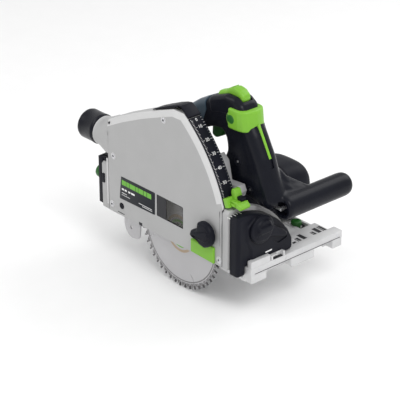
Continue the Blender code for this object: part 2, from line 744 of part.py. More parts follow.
def armature():
    """Motor shaft with core and commutator."""
    profile = [(3.0, -60.8), (3.0, -45.8), (4.0, -45.6), (4.0, -16.0), (16.5, -14.0), (16.5, 37.0)]
    profile += [(7.0, 39.0), (7.0, 46.0), (12.0, 47.0), (12.0, 62.0), (4.0, 63.0), (4.0, 88.0)]
    return turned("armature", "Y", (MOTOR_X, MOTOR_Z), profile, copper(), 20)


def motor_fan():
    """Cooling fan beside the armature core."""
    centre = (MOTOR_X, MOTOR_Z)
    fan = toothed("motor_fan", centre, 8, 28.0, 9.5, 4.4, -29.4, -21.0, 0.0, dark())
    join(fan, tube("t", "Y", centre, 29.0, 4.4, -31.0, -29.0, dark(), 20))
    return fan


def toothed(name, centre, teeth, tip, root, bore, low, high, turn, mat):
    """Spur wheel with straight-sided teeth and a bore."""
    outline = []
    pitch = 360.0 / teeth
    for i in range(teeth):
        middle = turn + pitch * i
        outline.append(polar(centre, root, middle - pitch * 0.27))
        outline.append(polar(centre, tip, middle - pitch * 0.11))
        outline.append(polar(centre, tip, middle + pitch * 0.11))
        outline.append(polar(centre, root, middle + pitch * 0.27))
    wheel = prism(name, outline, "Y", low, high, mat)
    cut(wheel, rod("c", "Y", centre, bore, low - 1, high + 1, mat, 20))
    return wheel


def pinion():
    """Pinion on the motor shaft."""
    line = math.degrees(math.atan2(BLADE_Z - MOTOR_Z, -MOTOR_X))
    return toothed("pinion", (MOTOR_X, MOTOR_Z), PINION_TEETH, 6.6, 4.8, 3.3, -60.0, -48.0, line, steel())


def output_gear():
    """Large wheel on the arbor."""
    line = math.degrees(math.atan2(MOTOR_Z - BLADE_Z, MOTOR_X))
    turn = line + 180.0 / GEAR_TEETH
    return toothed("output_gear", (0.0, BLADE_Z), GEAR_TEETH, 21.2, 19.2, 8.3, -59.0, -49.0, turn, steel())


def arbor():
    """Blade arbor shaft."""
    profile = [(8.0, -46.5), (8.0, -81.4), (9.6, -81.6), (9.6, -91.0)]
    return turned("arbor", "Y", (0.0, BLADE_Z), profile, steel(), 24)


def flange(name, low, high, outer, bore):
    """Clamping flange of the blade."""
    return tube(name, "Y", (0.0, BLADE_Z), outer, bore, low, high, steel(), 28)


def arbor_bolt():
    """Bolt that holds the outer flange."""
    bolt = rod("arbor_bolt", "Y", (0.0, BLADE_Z), 9.0, -97.0, -94.4, steel(), 28)
    cut(bolt, rod("c", "Y", (0.0, BLADE_Z), 3.2, -99.0, -95.2, dark(), 6))
    return bolt


def blade():
    """Saw blade with hooked teeth and a round bore."""
    outline = []
    pitch = 360.0 / BLADE_TEETH
    centre = (0.0, BLADE_Z)
    for i in range(BLADE_TEETH):
        tip = pitch * i
        outline.append(polar(centre, BLADE_BODY_R + 0.6, tip - 5.8))
        outline.append(polar(centre, BLADE_BODY_R + 4.0, tip - 3.8))
        outline.append(polar(centre, BLADE_R - 1.2, tip - 1.9))
        outline.append(polar(centre, BLADE_R, tip))
        outline.append(polar(centre, BLADE_BODY_R, tip + 0.7))
    disc = prism("saw_blade", outline, "Y", BLADE_Y - 0.9, BLADE_Y + 0.9, steel())
    cut(disc, rod("c", "Y", centre, 10.0, BLADE_Y - 5, BLADE_Y + 5, steel(), 32))
    return disc


def bearing(name, centre, outer, inner, low, high):
    """Ball bearing drawn as one plain ring."""
    return tube(name, "Y", centre, outer, inner, low, high, steel(), 24)


def bearing_plate():
    """Plate between gear case and motor, carrying the front motor bearing."""
    house = (HOUSE_X, HOUSE_Z)
    plate = rod("bearing_plate", "Y", house, MOTOR_R, -44.9, -41.0, silver(), 36)
    join(plate, rod("t", "Y", (0.0, BLADE_Z), 23.6, -44.7, -41.2, silver(), 36))
    join(plate, rod("t", "Y", house, MOTOR_R - 3.4, -41.4, -36.0, silver(), 36))
    cut(plate, rod("c", "Y", (MOTOR_X, MOTOR_Z), 11.3, -50.0, -30.0, dark(), 28))
    return plate


def brush(name, side):
    """Carbon brush in its holder."""
    z0 = MOTOR_Z + side * 12.4
    z1 = MOTOR_Z + side * 30.0
    return box(name, (MOTOR_X - 3.0, MOTOR_X + 3.0), (50.0, 59.0), (min(z0, z1), max(z0, z1)), copper())


def riving_knife():
    """Steel plate behind the blade, on a spring slide."""
    outline = [(-119.0, 8.0), (-119.0, -4.0), (-116.5, -12.5), (-110.5, -19.0), (-102.0, -22.0)]
    outline += [(-89.0, -19.0), (-86.0, -15.0), (-84.0, -4.0)]
    outline += arc((0.0, BLADE_Z), 84.9, 190.5, 160.0, 6)
    outline += [(-104.0, 56.0), (-104.0, 40.0), (-114.0, 24.0)]
    knife = prism("riving_knife", outline, "Y", BLADE_Y - 1.0, BLADE_Y + 1.0, steel())
    cut(knife, rod("c", "Y", (-103.7, -5.3), 2.4, BLADE_Y - 4, BLADE_Y + 4, dark(), 16))
    return knife


PIVOTS = {
    "saw_blade": (0.0, BLADE_Y, BLADE_Z),
    "arbor": (0.0, -60.0, BLADE_Z),
    "inner_flange": (0.0, -85.0, BLADE_Z),
    "outer_flange": (0.0, -92.0, BLADE_Z),
    "arbor_bolt": (0.0, -95.0, BLADE_Z),
    "output_gear": (0.0, -54.0, BLADE_Z),
    "armature": (MOTOR_X, 0.0, MOTOR_Z),
    "motor_fan": (MOTOR_X, -25.0, MOTOR_Z),
    "pinion": (MOTOR_X, -54.0, MOTOR_Z),
    "depth_stop": (PLUNGE_X, -88.0, PLUNGE_Z),
    "gear_case": (PLUNGE_X, -70.0, PLUNGE_Z),
    "riving_knife": (-100.0, BLADE_Y, BLADE_Z),
    "splinter_knob": (68.0, -102.0, 55.0),
    "dust_port": (-172.0, -81.0, 117.5),
    "front_clamp_knob": (126.4, FRONT_BOLT[0], FRONT_BOLT[1]),
    "rear_clamp_knob": (-162.9, REAR_BOLT[0], REAR_BOLT[1]),
    "rail_cam_front": (DIALS[0], DIAL_Y, 5.0),
    "rail_cam_rear": (DIALS[1], DIAL_Y, 5.0),
    "change_lever": (100.5, -40.0, 192.0),
    "speed_dial": (HOUSE_X, 47.5, 92.0),
    "hex_key": (AUX_CENTRE[0], -38.0, AUX_CENTRE[1]),
}


def set_pivots():
    """Put the origin of each moving piece on its joint axis."""
    for name, place in PIVOTS.items():
        obj = bpy.data.objects[name]
        point = Vector(place) * MM
        obj.data.transform(Matrix.Translation(-point))
        obj.location = point


def build():
    """Make every piece."""
    clear_scene()
    base_plate()
    rail_cam("rail_cam_front", DIALS[0])
    rail_cam("rail_cam_rear", DIALS[1])
    front_quadrant()
    rear_quadrant()
    clamp_bolt("front_clamp_bolt", FRONT_BOLT, (97.2, 101.6), (101.0, 125.8))
    clamp_bolt("rear_clamp_bolt", REAR_BOLT, (-144.6, -139.2), (-162.4, -144.0))
    front_clamp_knob()
    rear_clamp_knob()
    hood_shell()
    hood_cover()
    window_pane()
    nameplate()
    for i, spot in enumerate(((-126.0, 100.0), (-131.0, 25.0), (-18.5, 188.5), (91.0, 25.0))):
        cover_screw(i + 1, spot[0], spot[1])
    depth_scale()
    scale_end_block()
    front_sector()
    rear_sector()
    splinter_guard()
    splinter_knob()
    depth_stop()
    dust_port()
    plunge_pin()
    gear_case()
    bearing_plate()
    motor_shell()
    motor_end_cap()
    handle_body()
    grip_cover()
    top_button()
    power_trigger()
    change_lever()
    column_inlay()
    aux_handle()
    hex_key()
    power_inlet()
    speed_dial()
    stator()
    armature()
    motor_fan()
    pinion()
    output_gear()
    arbor()
    flange("inner_flange", -88.9, -82.2, 16.0, 9.9)
    flange("outer_flange", -94.2, -91.2, 15.0, 3.0)
    arbor_bolt()
    blade()
    bearing("arbor_bearing", (0.0, BLADE_Z), 14.0, 8.3, -75.0, -66.0)
    bearing("motor_bearing_front", (MOTOR_X, MOTOR_Z), 11.0, 4.3, -44.5, -37.3)
    bearing("motor_bearing_rear", (MOTOR_X, MOTOR_Z), 11.0, 4.3, 79.0, 86.0)
    brush("brush_upper", 1.0)
    brush("brush_lower", -1.0)
    riving_knife()
    set_pivots()


build()
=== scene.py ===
"""Studio looks for a track plunge saw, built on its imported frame.

Sizes in the classes are millimetres in the frame's own axes: X is the travel direction,
Y points from the blade to the motor and Z is up from the sole.
"""
import json
import logging
import math
from dataclasses import dataclass
from enum import Enum

import bmesh
import bpy
from mathutils import Matrix, Vector


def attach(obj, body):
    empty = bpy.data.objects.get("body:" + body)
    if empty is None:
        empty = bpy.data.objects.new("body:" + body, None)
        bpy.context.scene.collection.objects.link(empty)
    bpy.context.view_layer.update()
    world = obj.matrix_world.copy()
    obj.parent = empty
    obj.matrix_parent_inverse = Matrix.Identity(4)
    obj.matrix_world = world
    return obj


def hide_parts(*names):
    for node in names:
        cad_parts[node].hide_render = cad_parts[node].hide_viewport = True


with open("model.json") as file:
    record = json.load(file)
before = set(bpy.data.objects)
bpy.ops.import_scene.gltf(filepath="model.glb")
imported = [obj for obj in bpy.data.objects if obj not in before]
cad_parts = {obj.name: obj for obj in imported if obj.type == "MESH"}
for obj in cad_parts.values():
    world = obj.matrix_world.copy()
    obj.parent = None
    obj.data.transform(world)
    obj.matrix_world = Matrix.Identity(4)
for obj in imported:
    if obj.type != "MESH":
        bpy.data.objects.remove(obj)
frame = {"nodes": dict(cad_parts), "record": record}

LOG = logging.getLogger("plunge_saw")
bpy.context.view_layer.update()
MM = 0.001
ARBOR = (0.0, -0.09, 0.025)
SOLVERS = (("EXACT", False), ("EXACT", True), ("MANIFOLD", False), ("FAST", False))
LEAST_SHARE = 0.5
LEAST_FACES = 8
FONT_PER_DIGIT = 1.38
DIGIT_DEPTH = 0.12
Point = tuple[float, float]
Colour = tuple[float, float, float]


class Axis(Enum):
    """The direction in which an outline is extruded or turned."""

    X = "X"
    Y = "Y"
    Z = "Z"


class Pattern(Enum):
    """The small surface detail of a finish."""

    GRAIN = "moulded grain"
    CAST = "blasted casting"
    BRUSHED = "straight brushing"
    TURNED = "rings round the arbor"
    PLAIN = "polished"


class Slot(Enum):
    """Material slots of the record."""

    SILVER = "cast_silver"
    HOOD = "hood_grey"
    DARK = "dark_housing"
    RUBBER = "grip_rubber"
    GREEN = "signal_green"
    STEEL = "bright_steel"
    COPPER = "copper_core"
    WINDOW = "window_smoke"
    CARBON = "carbon"


# ---------------------------------------------------------------------------
# Finishes
# ---------------------------------------------------------------------------
class Board:
    """A material's node tree with its Principled shader at hand."""

    def __init__(self, name: str) -> None:
        """Make an empty material called name."""
        self.material = bpy.data.materials.new(name)
        self.material.use_nodes = True
        self.tree = self.material.node_tree
        self.shader = self.tree.nodes["Principled BSDF"]

    def add(self, kind: str, **inputs: object) -> bpy.types.Node:
        """Add one node.

        Args:
            kind: the node's type name.
            inputs: socket values, with spaces in a socket's name written as underscores.

        Returns:
            The new node.
        """
        node = self.tree.nodes.new(kind)
        for key, value in inputs.items():
            node.inputs[key.replace("_", " ")].default_value = value
        return node

    def join(self, source: bpy.types.NodeSocket, target: bpy.types.NodeSocket) -> None:
        """Link two sockets."""
        self.tree.links.new(source, target)

    def coordinates(self, stretch: tuple[float, float, float]) -> bpy.types.NodeSocket:
        """Object coordinates stretched along each axis.

        Args:
            stretch: the factor for X, Y and Z.

        Returns:
            The vector socket.
        """
        place = self.tree.nodes.new("ShaderNodeTexCoord")
        mapping = self.tree.nodes.new("ShaderNodeMapping")
        mapping.inputs["Scale"].default_value = stretch
        self.join(place.outputs["Object"], mapping.inputs["Vector"])
        return mapping.outputs["Vector"]

    def noise(self, vector: bpy.types.NodeSocket, scale: float, detail: float) -> bpy.types.NodeSocket:
        """Noise value over the given coordinates.

        Args:
            vector: the coordinates.
            scale: cycles per metre.
            detail: octaves.

        Returns:
            The value socket.
        """
        node = self.add("ShaderNodeTexNoise", Scale=scale, Detail=detail)
        self.join(vector, node.inputs["Vector"])
        return node.outputs["Fac"]

    def ramp(self, value: bpy.types.NodeSocket, low: float, high: float) -> bpy.types.NodeSocket:
        """Map a noise value to a range.

        Args:
            value: the socket to map.
            low: the result at 0.3.
            high: the result at 0.7.

        Returns:
            The mapped socket.
        """
        node = self.tree.nodes.new("ShaderNodeMapRange")
        node.inputs["From Min"].default_value = 0.3
        node.inputs["From Max"].default_value = 0.7
        node.inputs["To Min"].default_value = low
        node.inputs["To Max"].default_value = high
        self.join(value, node.inputs["Value"])
        return node.outputs["Result"]

    def tint(self, value: bpy.types.NodeSocket, dark: Colour, light: Colour) -> bpy.types.NodeSocket:
        """Colour that runs between two tints.

        Args:
            value: the driving noise.
            dark: the tint at low values.
            light: the tint at high values.

        Returns:
            The colour socket.
        """
        node = self.tree.nodes.new("ShaderNodeValToRGB")
        first, last = node.color_ramp.elements
        first.position, last.position = 0.3, 0.7
        first.color = (*dark, 1.0)
        last.color = (*light, 1.0)
        self.join(value, node.inputs["Fac"])
        return node.outputs["Color"]

    def bump(self, height: bpy.types.NodeSocket, depth: float) -> None:
        """Put a bump of the given depth in metres on the shader."""
        node = self.add("ShaderNodeBump", Strength=1.0, Distance=depth)
        self.join(height, node.inputs["Height"])
        self.join(node.outputs["Normal"], self.shader.inputs["Normal"])


@dataclass(frozen=True)
class Finish:
    """One finish of the saw."""

    name: str
    colour: Colour
    roughness: float
    slot: Slot
    metallic: float = 0.0
    swing: float = 0.05
    patch: float = 30.0
    gloss_swing: float = 0.05
    pattern: Pattern = Pattern.GRAIN
    grain: float = 1400.0
    depth: float = 0.00002
    alpha: float = 1.0
    sheen: float = 0.0
    specular: float = 0.5
    centre: tuple[float, float, float] = ARBOR

    def shade(self, factor: float) -> Colour:
        """The finish's colour times a factor."""
        red, green, blue = (min(1.0, channel * factor) for channel in self.colour)
        return (red, green, blue)

    def rings(self, board: Board) -> bpy.types.NodeSocket:
        """Fine circular lines round the finish's centre.

        Args:
            board: the material being made.

        Returns:
            The noise socket of the lines.
        """
        place = board.tree.nodes.new("ShaderNodeTexCoord")
        shift = board.add("ShaderNodeVectorMath")
        shift.operation = "SUBTRACT"
        shift.inputs[1].default_value = self.centre
        flat = board.add("ShaderNodeVectorMath")
        flat.operation = "MULTIPLY"
        flat.inputs[1].default_value = (1.0, 0.0, 1.0)
        length = board.add("ShaderNodeVectorMath")
        length.operation = "LENGTH"
        board.join(place.outputs["Object"], shift.inputs[0])
        board.join(shift.outputs[0], flat.inputs[0])
        board.join(flat.outputs[0], length.inputs[0])
        pack = board.tree.nodes.new("ShaderNodeCombineXYZ")
        board.join(length.outputs["Value"], pack.inputs["X"])
        return board.noise(pack.outputs["Vector"], self.grain, 3.0)

    def relief(self, board: Board) -> bpy.types.NodeSocket:
        """Height of the small detail for this finish's pattern.

        Args:
            board: the material being made.

        Returns:
            The height socket.
        """
        if self.pattern is Pattern.TURNED:
            return self.rings(board)
        stretch = (0.02, 1.0, 1.0) if self.pattern is Pattern.BRUSHED else (1.0, 1.0, 1.0)
        detail = 4.0 if self.pattern is Pattern.CAST else 2.0
        return board.noise(board.coordinates(stretch), self.grain, detail)

    def build(self) -> bpy.types.Material:
        """Make the node material of this finish, once.

        Returns:
            The material.
        """
        found = bpy.data.materials.get(self.name)
        if found is not None:
            return found
        board = Board(self.name)
        shader = board.shader
        shader.inputs["Metallic"].default_value = self.metallic
        shader.inputs["Sheen Weight"].default_value = self.sheen
        shader.inputs["Specular IOR Level"].default_value = self.specular
        shader.inputs["Alpha"].default_value = self.alpha
        patches = board.noise(board.coordinates((1.0, 1.0, 1.0)), self.patch, 3.0)
        tint = board.tint(patches, self.shade(1.0 - self.swing), self.shade(1.0 + self.swing))
        board.join(tint, shader.inputs["Base Color"])
        height = self.relief(board)
        rough = board.ramp(height, self.roughness - self.gloss_swing, self.roughness + self.gloss_swing)
        board.join(rough, shader.inputs["Roughness"])
        if self.pattern is not Pattern.PLAIN:
            board.bump(height, self.depth)
        board.material.diffuse_color = (*self.colour, 1.0)
        return board.material


HOOD_PAINT = Finish("hood_paint", (0.405, 0.405, 0.405), 0.44, Slot.HOOD, swing=0.02, depth=0.000012,
                    grain=1800.0, specular=0.35)
# A lighter copy of the hood grey. It paints the highlight on the rim's sloped faces, and it also colours the
# screw rings, the neck band and the rear seam strip.
HOOD_PALE_AND_HIGHLIGHT = Finish("hood_pale_and_highlight", (0.60, 0.60, 0.60), 0.38, Slot.HOOD, swing=0.02, depth=0.000008,
                  grain=1800.0, specular=0.4)
CASTING = Finish("blasted_casting", (0.60, 0.60, 0.605), 0.42, Slot.SILVER, metallic=0.1, swing=0.06,
                 specular=0.35, pattern=Pattern.CAST, grain=900.0, depth=0.00005)
GEAR_CASTING = Finish("gear_casting", (0.40, 0.40, 0.405), 0.42, Slot.SILVER, metallic=0.3, swing=0.08,
                      pattern=Pattern.CAST, grain=800.0, depth=0.00007)
HOUSING = Finish("dark_nylon", (0.0078, 0.0085, 0.0135), 0.42, Slot.DARK, swing=0.10, grain=1500.0,
                 depth=0.000035, gloss_swing=0.07, specular=0.11)
HANDLE_SKIN = Finish("handle_nylon", (0.0062, 0.0070, 0.0115), 0.30, Slot.DARK, swing=0.10, grain=1600.0,
                     depth=0.00002, gloss_swing=0.05, specular=0.16)
SOFT_GRIP = Finish("soft_grip", (0.030, 0.054, 0.078), 0.50, Slot.RUBBER, swing=0.08, grain=1100.0,
                   depth=0.00005, sheen=0.1, gloss_swing=0.06, specular=0.4)
LIME = Finish("lime_nylon", (0.185, 0.44, 0.032), 0.38, Slot.GREEN, swing=0.04, grain=1500.0,
              depth=0.00001, specular=0.35)
# A darker green. It is painted shade on the lever's hub cap. The dials, their teeth, the trigger and the rear
# knob are also made in it.
DEEP_GREEN_AND_SHADE = Finish("deep_green_and_shade", (0.018, 0.115, 0.018), 0.35, Slot.GREEN, swing=0.05, grain=1500.0,
                    depth=0.00001, specular=0.35)
STEEL = Finish("ground_steel", (0.62, 0.62, 0.64), 0.30, Slot.STEEL, metallic=0.9, swing=0.05,
               pattern=Pattern.BRUSHED, grain=1600.0, depth=0.000015)
BLADE_STEEL = Finish("blade_steel", (0.47, 0.465, 0.475), 0.36, Slot.STEEL, metallic=0.4, swing=0.03,
                     pattern=Pattern.TURNED, grain=2600.0, depth=0.00001, gloss_swing=0.08)
BLADE_RIM = Finish("blade_rim", (0.20, 0.195, 0.20), 0.38, Slot.STEEL, metallic=0.7, swing=0.10,
                   pattern=Pattern.TURNED, grain=2600.0, depth=0.00001)
CARBIDE = Finish("carbide", (0.13, 0.125, 0.13), 0.32, Slot.STEEL, metallic=0.7, swing=0.10, grain=2500.0)
COPPER = Finish("copper_winding", (0.62, 0.27, 0.12), 0.35, Slot.COPPER, metallic=0.9, swing=0.10,
                pattern=Pattern.BRUSHED, grain=1800.0, depth=0.00008)
CARBON = Finish("carbon_block", (0.03, 0.03, 0.03), 0.6, Slot.CARBON, grain=1600.0)
PANE = Finish("smoked_pane", (0.10, 0.097, 0.09), 0.10, Slot.WINDOW, alpha=0.30, pattern=Pattern.PLAIN,
              gloss_swing=0.02, specular=0.25)
LABEL = Finish("label_film", (0.010, 0.012, 0.017), 0.34, Slot.DARK, swing=0.06, grain=2200.0,
               depth=0.000006, specular=0.2)
PRINT_WHITE = Finish("white_print", (0.80, 0.80, 0.80), 0.45, Slot.HOOD, swing=0.03, grain=2200.0,
                     depth=0.000005)
PRINT_GREEN = Finish("green_print", (0.13, 0.42, 0.03), 0.45, Slot.GREEN, swing=0.04, grain=2200.0,
                     depth=0.000005)
SHADOW = Finish("pocket_black", (0.012, 0.012, 0.016), 0.6, Slot.DARK, swing=0.10, grain=1200.0)
TAN_PRINT = Finish("tan_print", (0.42, 0.32, 0.22), 0.45, Slot.STEEL, swing=0.05, grain=2200.0,
                   depth=0.000005)
FLOOR = Finish("studio_floor", (0.92, 0.92, 0.92), 0.7, Slot.HOOD, swing=0.005, grain=60.0, depth=0.00001)
SLOT_FINISH = {
    Slot.SILVER: CASTING,
    Slot.HOOD: HOOD_PAINT,
    Slot.DARK: HOUSING,
    Slot.RUBBER: SOFT_GRIP,
    Slot.GREEN: LIME,
    Slot.STEEL: STEEL,
    Slot.COPPER: COPPER,
    Slot.WINDOW: PANE,
    Slot.CARBON: CARBON,
}


# ---------------------------------------------------------------------------
# Outlines
# ---------------------------------------------------------------------------
def to_frame(axis: Axis, a: float, b: float, t: float) -> Vector:
    """A point of the plane across an axis, in metres.

    Args:
        axis: the extrusion axis.
        a: the first plane coordinate.
        b: the second plane coordinate.
        t: the depth along the axis.

    Returns:
        The point in the frame.
    """
    if axis is Axis.X:
        return Vector((t, a, b)) * MM
    if axis is Axis.Y:
        return Vector((a, t, b)) * MM
    return Vector((a, b, t)) * MM


def polar(centre: Point, radius: float, angle: float) -> Point:
    """The point at an angle in degrees round a centre."""
    turn = math.radians(angle)
    return (centre[0] + radius * math.cos(turn), centre[1] + radius * math.sin(turn))


def arc(centre: Point, radius: float, start: float, end: float, steps: int) -> list[Point]:
    """Points along an arc.

    Args:
        centre: the middle of the circle.
        radius: its radius.
        start: the first angle in degrees.
        end: the last angle in degrees.
        steps: the number of spans.

    Returns:
        steps + 1 points.
    """
    return [polar(centre, radius, start + (end - start) * i / steps) for i in range(steps + 1)]


def fillet(points: list[Point], radius: float | list[float], steps: int = 4,
           closed: bool = True) -> list[Point]:
    """Round the corners of an outline.

    Args:
        points: the corners in order.
        radius: one radius, or one for each corner.
        steps: spans on each rounded corner.
        closed: whether the last point joins the first.

    Returns:
        The rounded outline.
    """
    count = len(points)
    radii = radius if isinstance(radius, list) else [radius] * count
    made: list[Point] = []
    for i, point in enumerate(points):
        if not closed and i in (0, count - 1):
            made.append(point)
            continue
        here = Vector(point)
        back = Vector(points[i - 1]) - here
        ahead = Vector(points[(i + 1) % count]) - here
        angle = back.angle(ahead)
        if radii[i] <= 0.0 or angle > 3.1:
            made.append(point)
            continue
        reach = min(radii[i] / math.tan(angle / 2.0), back.length * 0.48, ahead.length * 0.48)
        first = here + back.normalized() * reach
        last = here + ahead.normalized() * reach
        for k in range(steps + 1):
            t = k / steps
            spot = first * (1 - t) ** 2 + here * 2 * t * (1 - t) + last * t**2
            made.append((spot.x, spot.y))
    return made


def inset(points: list[Point], distance: float, weights: list[float] | None = None) -> list[Point]:
    """Move an outline inwards, each edge by its own share of the distance.

    Args:
        points: the closed outline.
        distance: how far inwards.
        weights: the share of each edge, the edge i starting at point i.

    Returns:
        The moved outline, with as many points.
    """
    count = len(points)
    area = sum(points[i][0] * points[(i + 1) % count][1] - points[(i + 1) % count][0] * points[i][1]
               for i in range(count))
    sign = -1.0 if area > 0 else 1.0
    shares = weights or [1.0] * count
    made: list[Point] = []
    for i in range(count):
        here = Vector(points[i])
        before = (here - Vector(points[i - 1])).normalized()
        after = (Vector(points[(i + 1) % count]) - here).normalized()
        n0 = Vector((before.y, -before.x)) * sign
        n1 = Vector((after.y, -after.x)) * sign
        d0, d1 = distance * shares[i - 1], distance * shares[i]
        cross = n0.x * n1.y - n0.y * n1.x
        if abs(cross) < 0.02:
            moved = here + (n0 + n1).normalized() * (d0 + d1) / 2.0
        else:
            moved = here + Vector(((d0 * n1.y - d1 * n0.y) / cross, (d1 * n0.x - d0 * n1.x) / cross))
        made.append((moved.x, moved.y))
    return made


def round_over(width: float, depth: float, steps: int = 4) -> list[Point]:
    """Pairs of inset and depth for a rounded edge, from the face to the side.

    Args:
        width: how far the face stands inside the outline.
        depth: how deep the rounding goes.
        steps: the number of spans.

    Returns:
        The pairs in order.
    """
    turns = [math.pi / 2 * i / steps for i in range(steps + 1)]
    return [(width * (1 - math.sin(t)), depth * (1 - math.cos(t))) for t in turns]


# ---------------------------------------------------------------------------
# Meshes
# ---------------------------------------------------------------------------
def loft(rings: list[list[Vector]], caps: bool = True, loop: bool = False) -> bmesh.types.BMesh:
    """Join rings of points into one skin.

    Args:
        rings: point rings with equal counts.
        caps: whether both ends are closed.
        loop: whether the last ring joins the first.

    Returns:
        The mesh.
    """
    bm = bmesh.new()
    rows = [[bm.verts.new(point) for point in ring] for ring in rings]
    pairs = list(zip(rows[:-1], rows[1:]))
    if loop:
        pairs.append((rows[-1], rows[0]))
    for one, two in pairs:
        for i in range(len(one)):
            j = (i + 1) % len(one)
            bm.faces.new((one[i], one[j], two[j], two[i]))
    if caps and not loop:
        bm.faces.new(rows[0])
        bm.faces.new(rows[-1])
    bmesh.ops.remove_doubles(bm, verts=bm.verts, dist=1e-7)
    bmesh.ops.recalc_face_normals(bm, faces=bm.faces)
    return bm


def plate(outline: list[Point], axis: Axis, low: float, high: float,
          near: list[Point] | None = None, far: list[Point] | None = None,
          weights: list[float] | None = None) -> bmesh.types.BMesh:
    """Extrude an outline with a shaped edge at each end.

    Args:
        outline: the closed outline.
        axis: the extrusion axis.
        low: the first depth.
        high: the last depth.
        near: inset and depth pairs of the edge at low.
        far: inset and depth pairs of the edge at high.
        weights: the share of the inset for each edge of the outline.

    Returns:
        The mesh.
    """
    levels = [(d, low + t) for d, t in (near or [(0.0, 0.0)])]
    levels += [(d, high - t) for d, t in reversed(far or [(0.0, 0.0)])]
    rings = []
    for d, t in levels:
        ring = inset(outline, d, weights) if d > 1e-6 else outline
        rings.append([to_frame(axis, a, b, t) for a, b in ring])
    return loft(rings)


def turned(profile: list[Point], axis: Axis, centre: Point, segments: int = 48,
           ring: bool = False) -> bmesh.types.BMesh:
    """Turn a profile of radius and depth pairs about an axis.

    Args:
        profile: the pairs in order.
        axis: the turning axis.
        centre: where the axis crosses its plane.
        segments: spans round the axis.
        ring: whether the profile closes on itself.

    Returns:
        The mesh.
    """
    rows = []
    for radius, depth in profile:
        circle = [polar(centre, max(radius, 0.0), 360.0 * i / segments) for i in range(segments)]
        rows.append([to_frame(axis, a, b, depth) for a, b in circle])
    return loft(rows, caps=not ring, loop=ring)


def block(x: Point, y: Point, z: Point, edge: float = 0.6) -> bmesh.types.BMesh:
    """A box with rounded edges.

    Args:
        x: low and high in X.
        y: low and high in Y.
        z: low and high in Z.
        edge: the width of the rounding.

    Returns:
        The mesh.
    """
    corners = [(x[0], y[0]), (x[1], y[0]), (x[1], y[1]), (x[0], y[1])]
    if edge <= 0.0:
        return plate(corners, Axis.Z, z[0], z[1])
    rounded = round_over(edge, edge, 2)
    return plate(fillet(corners, edge, 3), Axis.Z, z[0], z[1], rounded, rounded)


def as_object(name: str, bm: bmesh.types.BMesh) -> bpy.types.Object:
    """Put a mesh in the scene.

    Args:
        name: the object's name.
        bm: the mesh, which is freed.

    Returns:
        The object.
    """
    mesh = bpy.data.meshes.new(name)
    bm.to_mesh(mesh)
    bm.free()
    obj = bpy.data.objects.new(name, mesh)
    bpy.context.scene.collection.objects.link(obj)
    return obj


def bake(obj: bpy.types.Object) -> bpy.types.Object:
    """Apply every modifier of an object.

    Args:
        obj: the object.

    Returns:
        The same object with its final mesh.
    """
    graph = bpy.context.evaluated_depsgraph_get()
    final = bpy.data.meshes.new_from_object(obj.evaluated_get(graph))
    obj.modifiers.clear()
    obj.data = final
    return obj


def carve(obj: bpy.types.Object, tool: bmesh.types.BMesh, operation: str = "DIFFERENCE") -> bpy.types.Object:
    """Apply a boolean with the first solver that leaves enough of the object.

    Args:
        obj: the object to change.
        tool: the mesh to cut with, to add or to keep.
        operation: DIFFERENCE, UNION or INTERSECT.

    Returns:
        The changed object.
    """
    bmesh.ops.recalc_face_normals(tool, faces=tool.faces)
    other = as_object("tool", tool)
    kept = obj.data
    enough = LEAST_SHARE * len(kept.polygons) if operation == "DIFFERENCE" else LEAST_FACES
    for solver, own in SOLVERS:
        obj.data = kept
        modifier = obj.modifiers.new("carve", "BOOLEAN")
        modifier.operation = operation
        modifier.solver = solver
        modifier.use_self = own
        modifier.object = other
        bake(obj)
        if len(obj.data.polygons) >= enough:
            break
        LOG.warning("carve: %s is cut again, as %s left too little", obj.name, solver)
    bpy.data.objects.remove(other, do_unlink=True)
    return obj


def merge(parts: list[bmesh.types.BMesh]) -> bmesh.types.BMesh:
    """Collect several meshes in one, unjoined.

    Args:
        parts: the meshes, which are freed.

    Returns:
        One mesh with all of them.
    """
    whole = bmesh.new()
    for part in parts:
        mesh = bpy.data.meshes.new("part")
        part.to_mesh(mesh)
        part.free()
        whole.from_mesh(mesh)
        bpy.data.meshes.remove(mesh)
    return whole


def fuse(name: str, parts: list[bmesh.types.BMesh], voxel: float, smooth: int) -> bpy.types.Object:
    """Melt several closed meshes into one smooth body.

    Args:
        name: the object's name.
        parts: the meshes.
        voxel: the cell size in millimetres.
        smooth: rounds of smoothing.

    Returns:
        The object.
    """
    obj = as_object(name, merge(parts))
    remesh = obj.modifiers.new("melt", "REMESH")
    remesh.mode = "VOXEL"
    remesh.voxel_size = voxel * MM
    soften = obj.modifiers.new("soften", "SMOOTH")
    soften.factor = 0.5
    soften.iterations = smooth
    return bake(obj)


def copy_node(node: str, bevel: float, steps: int = 2, limit: float = 30.0) -> bmesh.types.BMesh:
    """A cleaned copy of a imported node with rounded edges.

    Args:
        node: the node's name.
        bevel: the edge rounding in millimetres, 0 for none.
        steps: spans on each rounded edge.
        limit: the smallest edge angle that is rounded, in degrees.

    Returns:
        The mesh.
    """
    bm = bmesh.new()
    bm.from_mesh(frame["nodes"][node].data)
    bmesh.ops.remove_doubles(bm, verts=bm.verts, dist=1e-6)
    bmesh.ops.dissolve_limit(bm, angle_limit=math.radians(0.8), verts=bm.verts, edges=bm.edges)
    bmesh.ops.recalc_face_normals(bm, faces=bm.faces)
    if bevel > 0.0:
        sharp = [e for e in bm.edges
                 if len(e.link_faces) == 2 and e.calc_face_angle(0.0) > math.radians(limit)]
        bmesh.ops.bevel(bm, geom=sharp, offset=bevel * MM, segments=steps, profile=0.5, affect="EDGES",
                        clamp_overlap=True)
        bmesh.ops.recalc_face_normals(bm, faces=bm.faces)
    return bm


